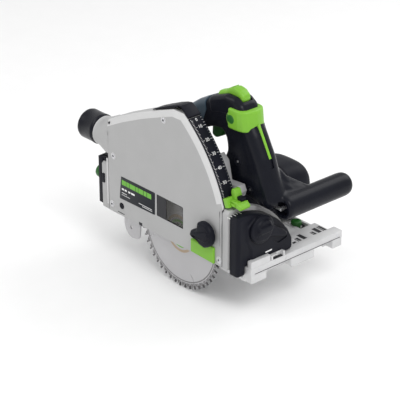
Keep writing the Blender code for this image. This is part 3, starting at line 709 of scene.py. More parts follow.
def dress(obj: bpy.types.Object, finish: Finish, body: str, stands_for: tuple[str, ...] = (),
          crease: float = 32.0) -> bpy.types.Object:
    """Give a piece its finish and its body, and hide the nodes that it replaces.

    Args:
        obj: the piece.
        finish: its main finish.
        body: the body it rides on.
        stands_for: the nodes that it replaces.
        crease: the angle in degrees above which an edge stays sharp.

    Returns:
        The piece.
    """
    mesh = obj.data
    if not mesh.materials:
        mesh.materials.append(finish.build())
    mesh.polygons.foreach_set("use_smooth", [True] * len(mesh.polygons))
    mesh.set_sharp_from_angle(angle=math.radians(crease))
    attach(obj, body)
    if stands_for:
        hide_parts(*stands_for)
    LOG.info("%s on %s: %d faces", obj.name, body, len(mesh.polygons))
    return obj


def piece(name: str, bm: bmesh.types.BMesh, finish: Finish, body: str,
          stands_for: tuple[str, ...] = (), crease: float = 32.0) -> bpy.types.Object:
    """Make and dress one piece from a mesh.

    Args:
        name: the piece's name.
        bm: its mesh.
        finish: its finish.
        body: the body it rides on.
        stands_for: the nodes that it replaces.
        crease: the angle above which an edge stays sharp.

    Returns:
        The piece.
    """
    return dress(as_object(name, bm), finish, body, stands_for, crease)


def on_arc(obj: bpy.types.Object, pivot: Point, radius: float, angle: float, across: float) -> None:
    """Bend a flat mesh of millimetres onto a cylinder about a Y axis.

    Args:
        obj: a mesh whose X runs along Y of the frame, and whose Y runs up the arc.
        pivot: the X and Z of the cylinder's axis.
        radius: the cylinder's radius.
        angle: where the mesh's origin goes, in degrees.
        across: the Y of the mesh's origin.
    """
    for vertex in obj.data.vertices:
        u, v, w = vertex.co
        x, z = polar(pivot, radius + w, angle + math.degrees(v / radius))
        vertex.co = Vector((x, across + u, z)) * MM


def numeral(name: str, text: str, height: float) -> bpy.types.Object:
    """A flat number as a mesh, in millimetres round its own middle.

    Args:
        name: the object's name.
        text: the digits.
        height: the height of a digit.

    Returns:
        The object.
    """
    curve = bpy.data.curves.new(name, "FONT")
    curve.body = text
    curve.size = height * FONT_PER_DIGIT
    curve.align_x = "CENTER"
    curve.align_y = "CENTER"
    curve.extrude = DIGIT_DEPTH
    maker = bpy.data.objects.new(name + "_maker", curve)
    bpy.context.scene.collection.objects.link(maker)
    bpy.context.view_layer.update()
    graph = bpy.context.evaluated_depsgraph_get()
    mesh = bpy.data.meshes.new_from_object(maker.evaluated_get(graph))
    bpy.data.objects.remove(maker, do_unlink=True)
    obj = bpy.data.objects.new(name, mesh)
    bpy.context.scene.collection.objects.link(obj)
    return obj


# ---------------------------------------------------------------------------
# Tilting head
# ---------------------------------------------------------------------------
@dataclass
class GuardHood:
    """Guard housing with the painted highlight on its rim, suction neck, window and plate."""

    pivot: Point = (-115.0, 30.0)
    radius: float = 223.0
    outer: float = -102.0
    inner: float = -78.0
    wall: float = 2.4
    rim: float = 9.4
    neck_centre: Point = (-81.0, 117.5)
    neck_radius: float = 21.2
    neck_end: float = -171.4
    neck_bore: float = 17.6
    neck_turn: float = 222.0
    neck_rings: int = 22
    bore_rings: int = 8
    roof: float = 150.5
    cut_x: float = -138.3
    pin_bore: float = 6.2
    window: tuple[float, float, float, float] = (-34.5, 19.5, 43.0, 75.0)
    print_depth: Point = (-102.6, -102.4)

    def outline(self) -> tuple[list[Point], list[float]]:
        """Side outline of the slab and the share of the rim on each edge.

        Returns:
            The closed outline and one weight for each edge.
        """
        slope = [(self.cut_x, self.roof), (-109.0, 165.5), (-66.0, 184.5), (-31.0, 198.0), (-14.0, 204.2)]
        top = fillet(slope, 30.0, 3, closed=False)
        bend = [top[-1], (-3.0, 208.2), polar(self.pivot, self.radius, 53.2)]
        bow = fillet(bend, 9.0, 5, closed=False)[1:-1]
        front = arc(self.pivot, self.radius, 53.2, 19.2, 30)
        low = [(96.4, 16.5), (self.cut_x, 13.5), (self.cut_x, 100.0)]
        points = top + bow + front + low
        first_low = len(points) - len(low)
        weights = [1.0] * len(points)
        weights[first_low - 1] = 0.06
        weights[first_low] = 0.0
        weights[first_low + 1] = 0.08
        weights[first_low + 2] = 0.0
        return points, weights

    def slab(self) -> bpy.types.Object:
        """The guard's hollow slab with its rim, window and gear case opening.

        Returns:
            The object, before it is dressed.
        """
        points, weights = self.outline()
        near = [(self.rim, 0.0), (self.rim - 0.25, 0.03), (5.4, 1.15), (2.2, 2.15), (0.8, 2.8), (0.2, 3.5),
                (0.0, 4.4)]
        far = [(0.8, 0.0), (0.25, 0.25), (0.0, 0.8)]
        shell = as_object("guard_housing", plate(points, Axis.Y, self.outer, self.inner, near, far, weights))
        hollow = inset(points, self.wall + 0.5)
        hollow[-3] = (hollow[-3][0], 5.0)
        hollow[-2] = (hollow[-2][0], 5.0)
        carve(shell, plate(hollow, Axis.Y, self.outer + 2.2, self.inner - 2.6))
        x0, x1, z0, z1 = self.window
        frame_hole = fillet([(x0, z0), (x1, z0), (x1, z1), (x0, z1)], 1.2, 3)
        carve(shell, plate(frame_hole, Axis.Y, self.outer - 4.0, self.outer + 5.0))
        opening = [(-98.0, 0.0), (-98.0, 40.0), (-116.0, 48.0), (-118.0, 66.0), (-100.0, 90.0),
                   (-85.0, 100.0), (-30.0, 117.0), (28.0, 117.0), (42.0, 65.0), (42.0, 0.0)]
        carve(shell, plate(fillet(opening, 4.0, 3), Axis.Y, self.inner - 6.0, self.inner + 3.0))
        pin_hole = [(self.pin_bore, self.inner - 6.0), (self.pin_bore, self.inner + 3.0)]
        carve(shell, turned(pin_hole, Axis.Y, self.pivot, 40))
        carve(shell, block((self.cut_x - 5.0, self.cut_x + 5.0), (-98.6, -81.6), (102.0, 134.0), 2.0))
        return shell

    def neck(self) -> bmesh.types.BMesh:
        """The suction neck, round at the collar and square where it meets the slab.

        Returns:
            The mesh.
        """
        square = [(-102.0, 99.9), (-102.0, self.roof - 10.6), (-100.9, self.roof - 6.1),
                  (-99.9, self.roof - 2.5), (-97.6, self.roof), (self.inner, self.roof), (self.inner, 99.9)]
        spans = [10, 2, 2, 3, 10, 11, 10]
        target: list[Point] = []
        for i, (start, steps) in enumerate(zip(square, spans)):
            end = square[(i + 1) % len(square)]
            for k in range(steps):
                t = k / steps
                target.append((start[0] + (end[0] - start[0]) * t, start[1] + (end[1] - start[1]) * t))
        count = len(target)
        angles = [self.neck_turn - 360.0 * i / count for i in range(count)]
        circle = [polar(self.neck_centre, self.neck_radius, angle) for angle in angles]
        rings = []
        for s in range(self.neck_rings + 1):
            x = self.neck_end + (self.cut_x + 1.2 - self.neck_end) * s / self.neck_rings
            t = min(1.0, max(0.0, (x - self.neck_end - 2.0) / (self.cut_x - self.neck_end - 2.0)))
            t = t * t * (3.0 - 2.0 * t)
            ring = [(a[0] + (b[0] - a[0]) * t, a[1] + (b[1] - a[1]) * t) for a, b in zip(circle, target)]
            rings.append([to_frame(Axis.X, y, z, x) for y, z in ring])
        bore = [polar(self.neck_centre, self.neck_bore, angle) for angle in angles]
        inside = []
        for s in range(self.bore_rings + 1):
            t = s / self.bore_rings
            x = self.neck_end + (self.cut_x - self.neck_end) * t
            ring = [(y + (self.duct_y(y) - y) * t, z) for y, z in bore]
            inside.append([to_frame(Axis.X, y, z, x) for y, z in ring])
        return loft(list(reversed(inside)) + rings, caps=False, loop=True)

    @staticmethod
    def duct_y(y: float) -> float:
        """Where a point of the neck's bore ends across the slab."""
        return -90.0 + (y + 81.0) * 0.5

    def label(self) -> None:
        """The plain information plate with its blocks and rules."""
        corners = [(-110.0, 74.6), (-114.0, 40.2), (-38.6, 42.0), (-38.0, 75.4)]
        plate_mesh = plate(fillet(corners, 1.6, 3), Axis.Y, -102.45, -102.02, round_over(0.2, 0.2, 2))
        piece("information_plate", plate_mesh, LABEL, "head", ("info_plate",))
        starts = ((-108.2, 9.0), (-98.4, 6.0), (-91.4, 12.0), (-78.4, 5.0), (-72.4, 10.0), (-61.4, 6.0),
                  (-54.4, 9.0))
        green = [block((x, x + wide), self.print_depth, (63.0, 70.2), 0.0) for x, wide in starts]
        piece("plate_green_bar", merge(green), PRINT_GREEN, "head")
        rules = [((-108.6, -104.0), (55.0, 57.6)), ((-102.4, -98.0), (55.0, 57.6)),
                 ((-94.6, -90.2), (55.0, 57.6)), ((-88.6, -81.0), (55.0, 57.6)),
                 ((-108.8, -98.0), (50.2, 51.0)), ((-109.2, -91.0), (47.2, 47.8)),
                 ((-72.0, -44.0), (47.2, 48.0)), ((-65.0, -44.0), (44.9, 45.6))]
        white = [block(x, self.print_depth, z, 0.06) for x, z in rules]
        piece("plate_white_rules", merge(white), PRINT_WHITE, "head")

    def pane(self) -> None:
        """The smoked window with its dark left third and its bead."""
        x0, x1, z0, z1 = self.window
        corners = [(x0 + 0.3, z0 + 0.3), (x1 - 0.3, z0 + 0.3), (x1 - 0.3, z1 - 0.3), (x0 + 0.3, z1 - 0.3)]
        glass = plate(fillet(corners, 1.0, 3), Axis.Y, self.outer + 0.5, self.outer + 1.5,
                      round_over(0.3, 0.3, 2))
        piece("window_glass", glass, PANE, "head", ("window_pane",))
        # A dark sheet behind the left third of the pane: painted shade inside the guard.
        shade = block((x0 + 0.4, x0 + 19.0), (self.outer + 0.2, self.outer + 0.45), (z0 + 0.4, z1 - 0.4), 0.0)
        piece("window_shade", shade, SHADOW, "head")
        outer = fillet([(x0, z0), (x1, z0), (x1, z1), (x0, z1)], 1.2, 3)
        ring = inset(outer, 1.0)
        lines = ((outer, -0.02), (ring, 0.3), (ring, 1.2), (outer, 1.2))
        rows = [[to_frame(Axis.Y, a, b, self.outer + depth) for a, b in line] for line, depth in lines]
        piece("window_bead", loft(rows, loop=True), HOUSING, "head")

    def screws(self) -> None:
        """Cover screws with a dark socket, each in a bright ring."""
        well = [(3.6, -102.02), (4.7, -102.02), (5.0, -102.12), (4.9, -102.3), (4.4, -102.34), (3.6, -102.2)]
        head = [(3.5, -101.9), (3.5, -102.5), (3.1, -102.95), (2.3, -103.15), (1.7, -103.15), (1.6, -102.2)]
        for i, (x, z) in enumerate(((-126.0, 100.0), (-131.0, 25.0), (-18.5, 188.5), (91.0, 25.0))):
            piece(f"screw_well_{i + 1}", turned(well, Axis.Y, (x, z), 32, ring=True), HOOD_PALE_AND_HIGHLIGHT, "head")
            screw = turned(head, Axis.Y, (x, z), 32)
            piece(f"cover_screw_head_{i + 1}", screw, STEEL, "head", (f"cover_screw_{i + 1}",))
            socket = turned([(1.58, -102.25), (1.58, -102.19)], Axis.Y, (x, z), 6)
            piece(f"screw_socket_{i + 1}", socket, SHADOW, "head")

    def marks(self) -> None:
        """Small features of the cover: plug, slot, notch and seams."""
        plug = [(0.0, -102.15), (2.6, -102.15), (2.9, -102.7), (4.2, -102.75), (4.7, -102.3), (4.8, -101.9)]
        piece("cover_plug", turned(plug, Axis.Y, (-110.0, 29.2), 36), HOUSING, "head", crease=50.0)
        piece("cover_slot", block((-119.0, -104.5), (-102.12, -101.8), (17.0, 18.2), 0.1), SHADOW, "head")
        piece("cover_notch", block((-73.0, -66.0), (-102.1, -100.2), (14.3, 18.8), 0.2), SHADOW, "head")
        seams = [block((91.2, 91.6), (-102.06, -101.7), (46.0, 96.0), 0.05),
                 block((60.0, 91.6), (-102.06, -101.7), (15.6, 15.9), 0.05)]
        piece("cover_seams", merge(seams), SHADOW, "head")
        notch = [(-136.6, 147.4), (-133.6, 148.8), (-133.2, 145.6), (-135.6, 144.2)]
        piece("roof_notch", plate(notch, Axis.Y, -101.9, -99.4), SHADOW, "head")

    def takes_rim_highlight(self, face: bpy.types.MeshPolygon) -> bool:
        """Whether a face of the slab takes the painted highlight on its rim.

        Args:
            face: the face.

        Returns:
            True for the sloped faces along the bow and the roof.
        """
        x, y, z = (value / MM for value in face.center)
        sloped = -0.992 < face.normal.y < -0.3
        at_edge = self.outer + 0.01 < y < self.outer + 4.0 and x > self.cut_x + 1.0
        from_pivot = math.hypot(x - self.pivot[0], z - self.pivot[1])
        high = z > 100.0 and (from_pivot > self.radius - 10.5 or x < 12.0)
        return sloped and at_edge and high

    def build(self) -> None:
        """Make every piece of the guard."""
        shell = self.slab()
        shell.data.materials.clear()
        shell.data.materials.append(HOOD_PAINT.build())
        shell.data.materials.append(HOOD_PALE_AND_HIGHLIGHT.build())
        # The rim's sloped faces take the lighter grey as a painted highlight along the bow and the roof.
        for face in shell.data.polygons:
            face.material_index = 1 if self.takes_rim_highlight(face) else 0
        dress(shell, HOOD_PAINT, "head", ("hood_shell", "hood_cover"), crease=12.0)
        for face in shell.data.polygons:
            if abs(face.normal.y) > 0.9995:
                face.use_smooth = False
        piece("suction_neck", self.neck(), HOOD_PAINT, "head", crease=40.0)
        self.label()
        self.pane()
        self.screws()
        self.marks()


@dataclass
class DepthScale:
    """Curved scale strip with ticks, numbers and its end block."""

    pivot: Point = (-115.0, 30.0)
    inner: float = 223.4
    outer: float = 225.4
    near: float = -98.9
    far: float = -78.2
    start: float = 18.8
    end: float = 50.6
    first: float = 52.0
    step: float = 5.04
    margin: float = 0.9
    tick_width: float = 0.34
    digit_height: float = 4.6

    def strip(self) -> bmesh.types.BMesh:
        """The dark band.

        Returns:
            The mesh.
        """
        outside = arc(self.pivot, self.outer, self.start, self.end, 40)
        inside = arc(self.pivot, self.inner, self.end, self.start, 40)
        side = round_over(0.5, 0.5, 2)
        return plate(outside + inside, Axis.Y, self.near, self.far, side, side)

    @staticmethod
    def tick_length(millimetre: int) -> float:
        """How long the mark of a depth is: longest at tens, shorter at fives, short between."""
        if millimetre % 10 == 0:
            return 5.0
        return 3.4 if millimetre % 5 == 0 else 2.0

    def tick(self, angle: float, low: float, high: float, width: float) -> bmesh.types.BMesh:
        """One raised mark across the band.

        Args:
            angle: its place on the arc in degrees.
            low: where it starts in Y.
            high: where it ends in Y.
            width: its width along the arc.

        Returns:
            The mesh.
        """
        half = math.degrees(width / 2.0 / self.outer)
        r0, r1 = self.outer - 0.2, self.outer + 0.12
        corners = [polar(self.pivot, r0, angle - half), polar(self.pivot, r1, angle - half),
                   polar(self.pivot, r1, angle + half), polar(self.pivot, r0, angle + half)]
        return plate(corners, Axis.Y, low, high)

    def build(self) -> None:
        """Make the strip, its marks and the end block."""
        piece("scale_strip", self.strip(), HOUSING, "head", ("depth_scale",))
        ticks: list[bmesh.types.BMesh] = []
        for millimetre in range(2, 65):
            angle = self.first - self.step * millimetre / 10.0
            if angle < self.start + 0.6 or angle > self.end - 0.2:
                continue
            long = self.tick_length(millimetre)
            near, far = self.near + self.margin, self.far - self.margin
            ticks.append(self.tick(angle, near, near + long, self.tick_width))
            if millimetre % 2 == 0:
                ticks.append(self.tick(angle, far - long * 0.9, far, self.tick_width))
        piece("scale_ticks", merge(ticks), PRINT_WHITE, "head")
        for index, label in enumerate(("0", "10", "20", "30", "40", "50")):
            angle = min(self.first - self.step * index, self.end - 1.0)
            digits = numeral(f"scale_number_{label}", label, self.digit_height)
            on_arc(digits, self.pivot, self.outer, angle, (self.near + self.far) / 2.0)
            dress(digits, PRINT_WHITE, "head")
        inside = arc(self.pivot, self.inner, 50.9, 56.0, 6)
        inside += [(-6.2, 208.6), (-31.0, 199.2), (-45.0, 193.6)]
        outside = [(-44.0, 195.6), (-27.0, 203.4), (-8.0, 211.6), (4.0, 215.9), (12.0, 217.4)]
        outside += arc(self.pivot, self.outer + 2.0, 53.8, 50.9, 4)
        rounded = round_over(0.9, 0.9, 3)
        end = plate(fillet(inside + outside, 0.6, 2), Axis.Y, -98.8, self.far, rounded, rounded)
        piece("scale_end_cap", end, HOUSING, "head", ("scale_end_block",), crease=40.0)


@dataclass
class DepthStop:
    """Lime stop that runs along the scale."""

    pivot: Point = (-115.0, 30.0)

    def build(self) -> None:
        """Make the stop's runner, lever and ribbed tab."""
        runner = arc(self.pivot, 233.0, 18.8, 22.0, 4) + arc(self.pivot, 225.9, 22.0, 18.8, 4)
        rounded = round_over(0.8, 0.8, 3)
        parts = [plate(runner, Axis.Y, -99.4, -76.6, rounded, rounded)]
        lever = fillet([(103.0, 107.6), (121.5, 104.6), (123.2, 109.0), (117.6, 113.2), (101.0, 113.7)],
                       1.4, 3)
        parts.append(plate(lever, Axis.Y, -93.8, -76.8, rounded, rounded))
        tab = fillet([(101.5, 110.6), (109.0, 110.8), (106.8, 122.0), (104.4, 127.4), (99.4, 127.4),
                      (98.2, 122.0)], 1.6, 3)
        parts.append(plate(tab, Axis.Y, -88.6, -77.6, rounded, rounded))
        for i in range(4):
            x = 103.2 + i * 4.6
            parts.append(block((x, x + 1.3), (-93.0, -77.6), (112.4, 114.4), 0.3))
        piece("stop_runner", merge(parts), LIME, "stop", ("depth_stop",))
        pointer = block((96.4, 112.5), (-95.2, -94.2), (107.4, 111.0), 0.3)
        piece("stop_pointer", pointer, LIME, "stop")
        catch = block((107.0, 116.0), (-86.5, -78.5), (114.0, 118.6), 0.7)
        piece("stop_catch", catch, HOUSING, "stop")


@dataclass
class SplinterGuard:
    """Lime splinter guard with its dark turning knob."""

    centre: Point = (71.0, 58.0)
    lock_axis: Point = (68.0, 55.0)
    knob_low: float = -115.0
    knob_high: float = -106.3

    def build(self) -> None:
        """Make the guard's plate and the winged knob."""
        sheet = fillet([(38.0, 18.4), (83.2, 17.2), (83.2, 40.3), (76.0, 40.3), (70.0, 37.4), (38.0, 37.4)],
                       0.9, 3)
        rounded = round_over(0.6, 0.6, 3)
        parts = [plate(sheet, Axis.Y, -105.1, -102.3, rounded, round_over(0.2, 0.2, 1))]
        parts.append(block((39.5, 62.0), (-105.9, -104.8), (33.6, 36.6), 0.4))
        piece("splinter_plate", merge(parts), LIME, "guard_slide", ("splinter_guard",))
        x, z = self.centre
        body = [(x - 26.5, z - 8.4), (x - 24.0, z - 1.8), (x - 13.0, z + 4.5)]
        body += arc(self.centre, 17.8, 128.0, -62.0, 22)
        body += [(x + 3.0, z - 18.6), (x - 5.0, z - 17.6), (x - 12.0, z - 13.2), (x - 22.0, z - 12.2)]
        soft = round_over(4.2, 5.0, 6)
        knob = plate(fillet(body, 2.6, 3), Axis.Y, self.knob_low, self.knob_high, soft,
                     round_over(0.8, 0.8, 2))
        piece("guard_knob", knob, HOUSING, "guard_lock", ("splinter_knob",), crease=50.0)
        skirt = [(0.0, -103.2), (13.4, -103.2), (13.8, -104.0), (13.8, -106.0), (13.2, -106.8), (0.0, -106.8)]
        piece("guard_knob_skirt", turned(skirt, Axis.Y, self.lock_axis, 44), HOUSING, "guard_lock")
        ridge = fillet([(x - 22.0, z - 7.4), (x - 9.0, z + 1.0), (x + 10.5, z + 8.0), (x + 14.0, z + 2.0),
                        (x + 6.0, z - 8.5), (x - 10.0, z - 8.6)], 2.5, 3)
        raised = plate(ridge, Axis.Y, self.knob_low - 1.6, self.knob_low + 2.0, round_over(2.4, 1.7, 4))
        piece("guard_knob_grip", raised, HOUSING, "guard_lock", crease=50.0)


@dataclass
class HeadEnds:
    """Front and rear plates of the head, with the swivelling suction collar."""

    collar_centre: Point = (-81.0, 117.5)

    def collar(self) -> None:
        """The dark suction collar with its lip and grip ring."""
        outside = [(20.4, -171.9), (21.3, -173.2), (21.4, -176.0), (22.0, -176.6), (22.0, -179.0),
                   (21.5, -179.7), (21.7, -200.0), (21.8, -203.6), (21.2, -205.4), (19.8, -206.0),
                   (18.2, -205.9), (17.4, -205.0), (15.6, -173.0), (15.4, -157.2), (17.1, -157.2),
                   (17.2, -171.6)]
        collar = turned(outside, Axis.X, self.collar_centre, 72, ring=True)
        piece("suction_collar", collar, HANDLE_SKIN, "port", ("dust_port",), crease=40.0)
        band = [(17.7, -171.45), (21.15, -171.45), (21.3, -170.6), (20.9, -170.2), (17.7, -170.2)]
        piece("neck_band", turned(band, Axis.X, self.collar_centre, 64, ring=True), HOOD_PALE_AND_HIGHLIGHT, "head")

    def build(self) -> None:
        """Make the end plates and the collar."""
        piece("front_plate", copy_node("front_sector", 0.9, 3), HOOD_PAINT, "head", ("front_sector",))
        piece("rear_plate", copy_node("rear_sector", 0.8, 2), HOOD_PAINT, "head", ("rear_sector",))
        piece("pivot_pin", copy_node("plunge_pin", 0.6, 2), STEEL, "head", ("plunge_pin",))
        strip = block((-141.4, -138.9), (-102.7, -101.6), (22.0, 92.0), 0.4)
        piece("rear_seam_strip", strip, HOOD_PALE_AND_HIGHLIGHT, "head")
        seam = block((96.55, 97.1), (-102.2, -99.0), (17.0, 99.5), 0.1)
        piece("front_seam", seam, SHADOW, "head")
        self.collar()


# ---------------------------------------------------------------------------
# Base
# ---------------------------------------------------------------------------
@dataclass
class BevelClamps:
    """Front and rear quadrants with their clamp knobs."""

    front: Point = (-62.8, 72.3)
    rear: Point = (-66.0, 61.5)
    wing: Point = (-83.2, 54.2)
    arc_centre: Point = (-90.0, 0.0)

    def front_cover(self) -> None:
        """The rounded front cover with its raised field, pocket, pointer and ticks."""
        outline = [(-99.8, 9.6)]
        outline += arc(self.arc_centre, 96.0, 95.8, 24.0, 24)
        outline += [(-2.4, 36.0), (-2.4, 22.4), (-85.6, 22.4), (-85.6, 9.6)]
        outline = fillet(outline, [2.0] + [4.0] + [0.0] * 23 + [6.0, 6.0, 2.0, 1.0, 2.0], 4)
        shell = plate(outline, Axis.X, 107.9, 125.4, round_over(0.6, 0.6, 2), round_over(4.6, 4.8, 6))
        raised = [(-77.6, 23.2), (-78.0, 44.0), (-86.0, 60.0), (-87.0, 78.0), (-72.0, 89.6), (-48.0, 86.6),
                  (-28.0, 73.0), (-13.0, 55.0), (-5.4, 40.0), (-4.4, 23.6)]
        panel = plate(fillet(raised, 5.0, 4), Axis.X, 118.0, 127.8, None, round_over(1.4, 1.4, 3))
        pocket = [(-42.0, 48.0), (-24.0, 58.0), (-14.0, 44.0), (-30.0, 40.0)]
        cover = fuse("front_cover", [shell, panel], 1.1, 5)
        carve(cover, plate(fillet(pocket, 2.0, 3), Axis.X, 126.6, 132.0))
        dress(cover, HOUSING, "base", ("front_quadrant",), crease=60.0)
        mark = fillet([(-54.0, 33.0), (-53.6, 35.2), (-41.6, 35.6), (-42.0, 33.4)], 0.5, 2)
        pointer = plate(mark, Axis.X, 127.0, 128.0, None, round_over(0.3, 0.3, 2))
        piece("bevel_pointer", pointer, PRINT_WHITE, "base")
        ticks = []
        half = 0.24
        for i, angle in enumerate((98.5, 95.6, 92.7, 89.8, 86.9)):
            length = 5.0 if i % 2 == 0 else 3.0
            corners = [polar(self.arc_centre, 95.7, angle - half), polar(self.arc_centre, 96.2, angle - half),
                       polar(self.arc_centre, 96.2, angle + half), polar(self.arc_centre, 95.7, angle + half)]
            ticks.append(plate(corners, Axis.X, 109.2, 109.2 + length))
        piece("bevel_ticks", merge(ticks), PRINT_WHITE, "base")

    def front_knob(self) -> None:
        """The round front knob with its wedge lever."""
        y, z = self.front
        body = [(0.0, 128.2), (19.6, 128.2), (20.0, 129.0), (19.8, 131.4), (18.8, 132.6), (15.4, 133.2),
                (14.6, 134.8), (13.4, 136.2), (0.0, 136.6)]
        wedge = [(y + 8.0, z + 6.0), (y + 17.0, z + 2.0), (y + 40.0, z - 14.0), (y + 44.0, z - 19.0),
                 (y + 41.0, z - 23.0), (y + 12.0, z - 13.0), (y + 2.0, z - 8.0)]
        facet = [(y - 14.0, z + 2.0), (y - 10.0, z + 6.4), (y + 8.0, z + 7.6), (y + 14.0, z + 3.4),
                 (y + 10.0, z - 2.6), (y - 10.0, z - 3.4)]
        parts = [turned(body, Axis.X, self.front, 64),
                 plate(fillet(wedge, 3.0, 3), Axis.X, 128.4, 133.8, None, round_over(2.2, 2.2, 4)),
                 plate(fillet(facet, 2.0, 3), Axis.X, 132.0, 139.6, None, round_over(1.6, 1.6, 3))]
        knob = fuse("front_knob_body", parts, 0.8, 6)
        dress(knob, HOUSING, "front_knob", ("front_clamp_knob",), crease=60.0)

    def rear_side(self) -> None:
        """The rear cover, its nub and the green rear knob."""
        cover = copy_node("rear_quadrant", 0.9, 2)
        piece("rear_cover", cover, HOUSING, "base", ("rear_quadrant",), crease=40.0)
        nub = block((-150.6, -146.4), (-103.6, -100.4), (52.0, 66.0), 0.6)
        piece("rear_nub", nub, HOUSING, "head")
        body = [(0.0, -163.1), (11.8, -163.1), (12.0, -168.6), (17.4, -170.8), (18.2, -172.0), (18.2, -180.0),
                (16.8, -182.2), (13.6, -183.6), (9.0, -183.8), (7.6, -182.4), (0.0, -182.2)]
        wing = [(0.0, -171.5), (9.2, -171.5), (10.1, -172.6), (10.1, -178.6), (9.0, -180.4), (0.0, -180.6)]
        parts = [turned(body, Axis.X, self.rear, 60), turned(wing, Axis.X, self.wing, 44)]
        knob = fuse("rear_knob_body", parts, 0.8, 4)
        dress(knob, DEEP_GREEN_AND_SHADE, "rear_knob", ("rear_clamp_knob",), crease=60.0)

    def build(self) -> None:
        """Make both clamps with their bolts."""
        self.front_cover()
        self.front_knob()
        self.rear_side()
        piece("front_bolt", copy_node("front_clamp_bolt", 0.5, 2), STEEL, "base", ("front_clamp_bolt",))
        piece("rear_bolt", copy_node("rear_clamp_bolt", 0.5, 2), STEEL, "base", ("rear_clamp_bolt",))


@dataclass
class SolePlate:
    """Cast sole plate with its dials and pockets."""

    dials: tuple[tuple[str, str, str, float], ...] = (
        ("front_dial", "rail_cam_front", "front_cam", 62.0),
        ("rear_dial", "rail_cam_rear", "rear_cam", -108.0),
    )
    dial_y: float = 68.4
    pockets: tuple[tuple[Point, Point], ...] = (
        ((92.0, 117.4), (75.8, 82.4)), ((92.0, 117.4), (66.6, 73.4)), ((98.0, 113.0), (57.4, 63.4)),
        ((92.0, 117.4), (38.0, 45.0)), ((97.0, 114.6), (28.4, 35.0)), ((103.0, 116.0), (18.4, 25.0)),
    )

    def dial(self, name: str, node: str, body: str, x: float) -> None:
        """One green dial in its dark recess.

        Args:
            name: the piece's name.
            node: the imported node.
            body: the body it rides on.
            x: its place along the sole.
        """
        knob = [(0.0, 0.5), (5.8, 0.5), (5.8, 8.6), (7.0, 8.9), (7.4, 9.4), (7.4, 13.4), (6.9, 14.4),
                (5.8, 14.9), (0.0, 15.0)]
        obj = as_object(name, turned(knob, Axis.Z, (x, self.dial_y), 60))
        carve(obj, block((x - 1.2, x + 1.2), (self.dial_y - 6.0, self.dial_y + 6.0), (13.3, 17.0), 0.2))
        dress(obj, DEEP_GREEN_AND_SHADE, body, (node,), crease=40.0)
        tooth = [(0.2, 9.6), (0.6, 10.0), (0.6, 13.0), (0.2, 13.6)]
        teeth = [turned(tooth, Axis.Z, polar((x, self.dial_y), 7.2, i * 20.0), 8) for i in range(18)]
        piece(name + "_teeth", merge(teeth), DEEP_GREEN_AND_SHADE, body)
        ring = [(6.4, 4.55), (10.2, 4.55), (10.4, 4.9), (10.0, 5.2), (6.4, 5.0)]
        piece(name + "_recess", turned(ring, Axis.Z, (x, self.dial_y + 2.4), 48, ring=True), SHADOW, "base")

    def pads(self) -> None:
        """Dark fillings of the pockets, and a rib over every second one."""
        floors = [block((x[0] + 0.05, x[1] - 0.05), (y[0] + 0.05, y[1] - 0.05), (6.7, 13.1), 0.0)
                  for x, y in self.pockets]
        piece("pocket_floors", merge(floors), SHADOW, "base")
        bars = [block((x[0] + 0.3, x[1] - 0.3), (y[0] + 1.9, y[0] + 2.6), (12.9, 13.4), 0.0)
                for x, y in self.pockets[::2]]
        piece("pad_ribs", merge(bars), CASTING, "base")

    def ridges(self) -> None:
        """Long ridges on the deck, webs under it and the glide strips of the sole."""
        ribs = [block((-166.0, 80.0), (y, y + 0.9), (8.3, 8.9), 0.2) for y in (33.0, 37.5, 57.5, 62.0)]
        piece("ridge_lines", merge(ribs), CASTING, "base")
        web = [block((x, x + 2.0), (-36.0, 30.0), (4.3, 6.6), 0.4)
               for x in (-150.0, -120.0, -90.0, -60.0, 60.0, 90.0)]
        web += [block((-160.0, 116.0), (y, y + 2.0), (4.3, 6.6), 0.4) for y in (-34.0, 0.0, 26.0)]
        piece("sole_webs", merge(web), CASTING, "base")
        glides = [block((-160.0, 112.0), y, (-0.25, 0.3), 0.2) for y in ((12.0, 20.0), (66.0, 72.0))]
        piece("sole_glides", merge(glides), HOUSING, "base")

    def front_bar(self) -> None:
        """Rivets, clip and groove of the bar along the front edge."""
        cap = [(0.0, 133.6), (2.6, 133.8), (2.2, 134.1), (0.0, 134.2)]
        caps = [turned(cap, Axis.X, (y, 17.0), 24) for y in (-70.6, 10.0, 74.4)]
        piece("bar_rivets", merge(caps), STEEL, "base")
        clip = [block((126.9, 128.4), (-46.0, -25.0), (21.4, 28.2), 0.3),
                block((126.9, 133.0), (-46.0, -36.0), (27.0, 28.4), 0.3),
                block((124.0, 134.9), (-22.0, -20.6), (14.0, 21.0), 0.3)]
        piece("bar_clip", merge(clip), CASTING, "base")
        shade = block((128.5, 133.2), (-44.4, -26.2), (22.0, 22.4), 0.0)
        piece("clip_shade", shade, SHADOW, "base")
        groove = block((133.9, 134.3), (-78.0, 80.0), (12.6, 13.4), 0.1)
        piece("bar_groove", groove, SHADOW, "base")

    def build(self) -> None:
        """Make the plate, its details and the dials."""
        piece("sole_casting", copy_node("base_plate", 0.7, 2, 40.0), CASTING, "base", ("base_plate",))
        self.pads()
        self.ridges()
        self.front_bar()
        for name, node, body, x in self.dials:
            self.dial(name, node, body, x)


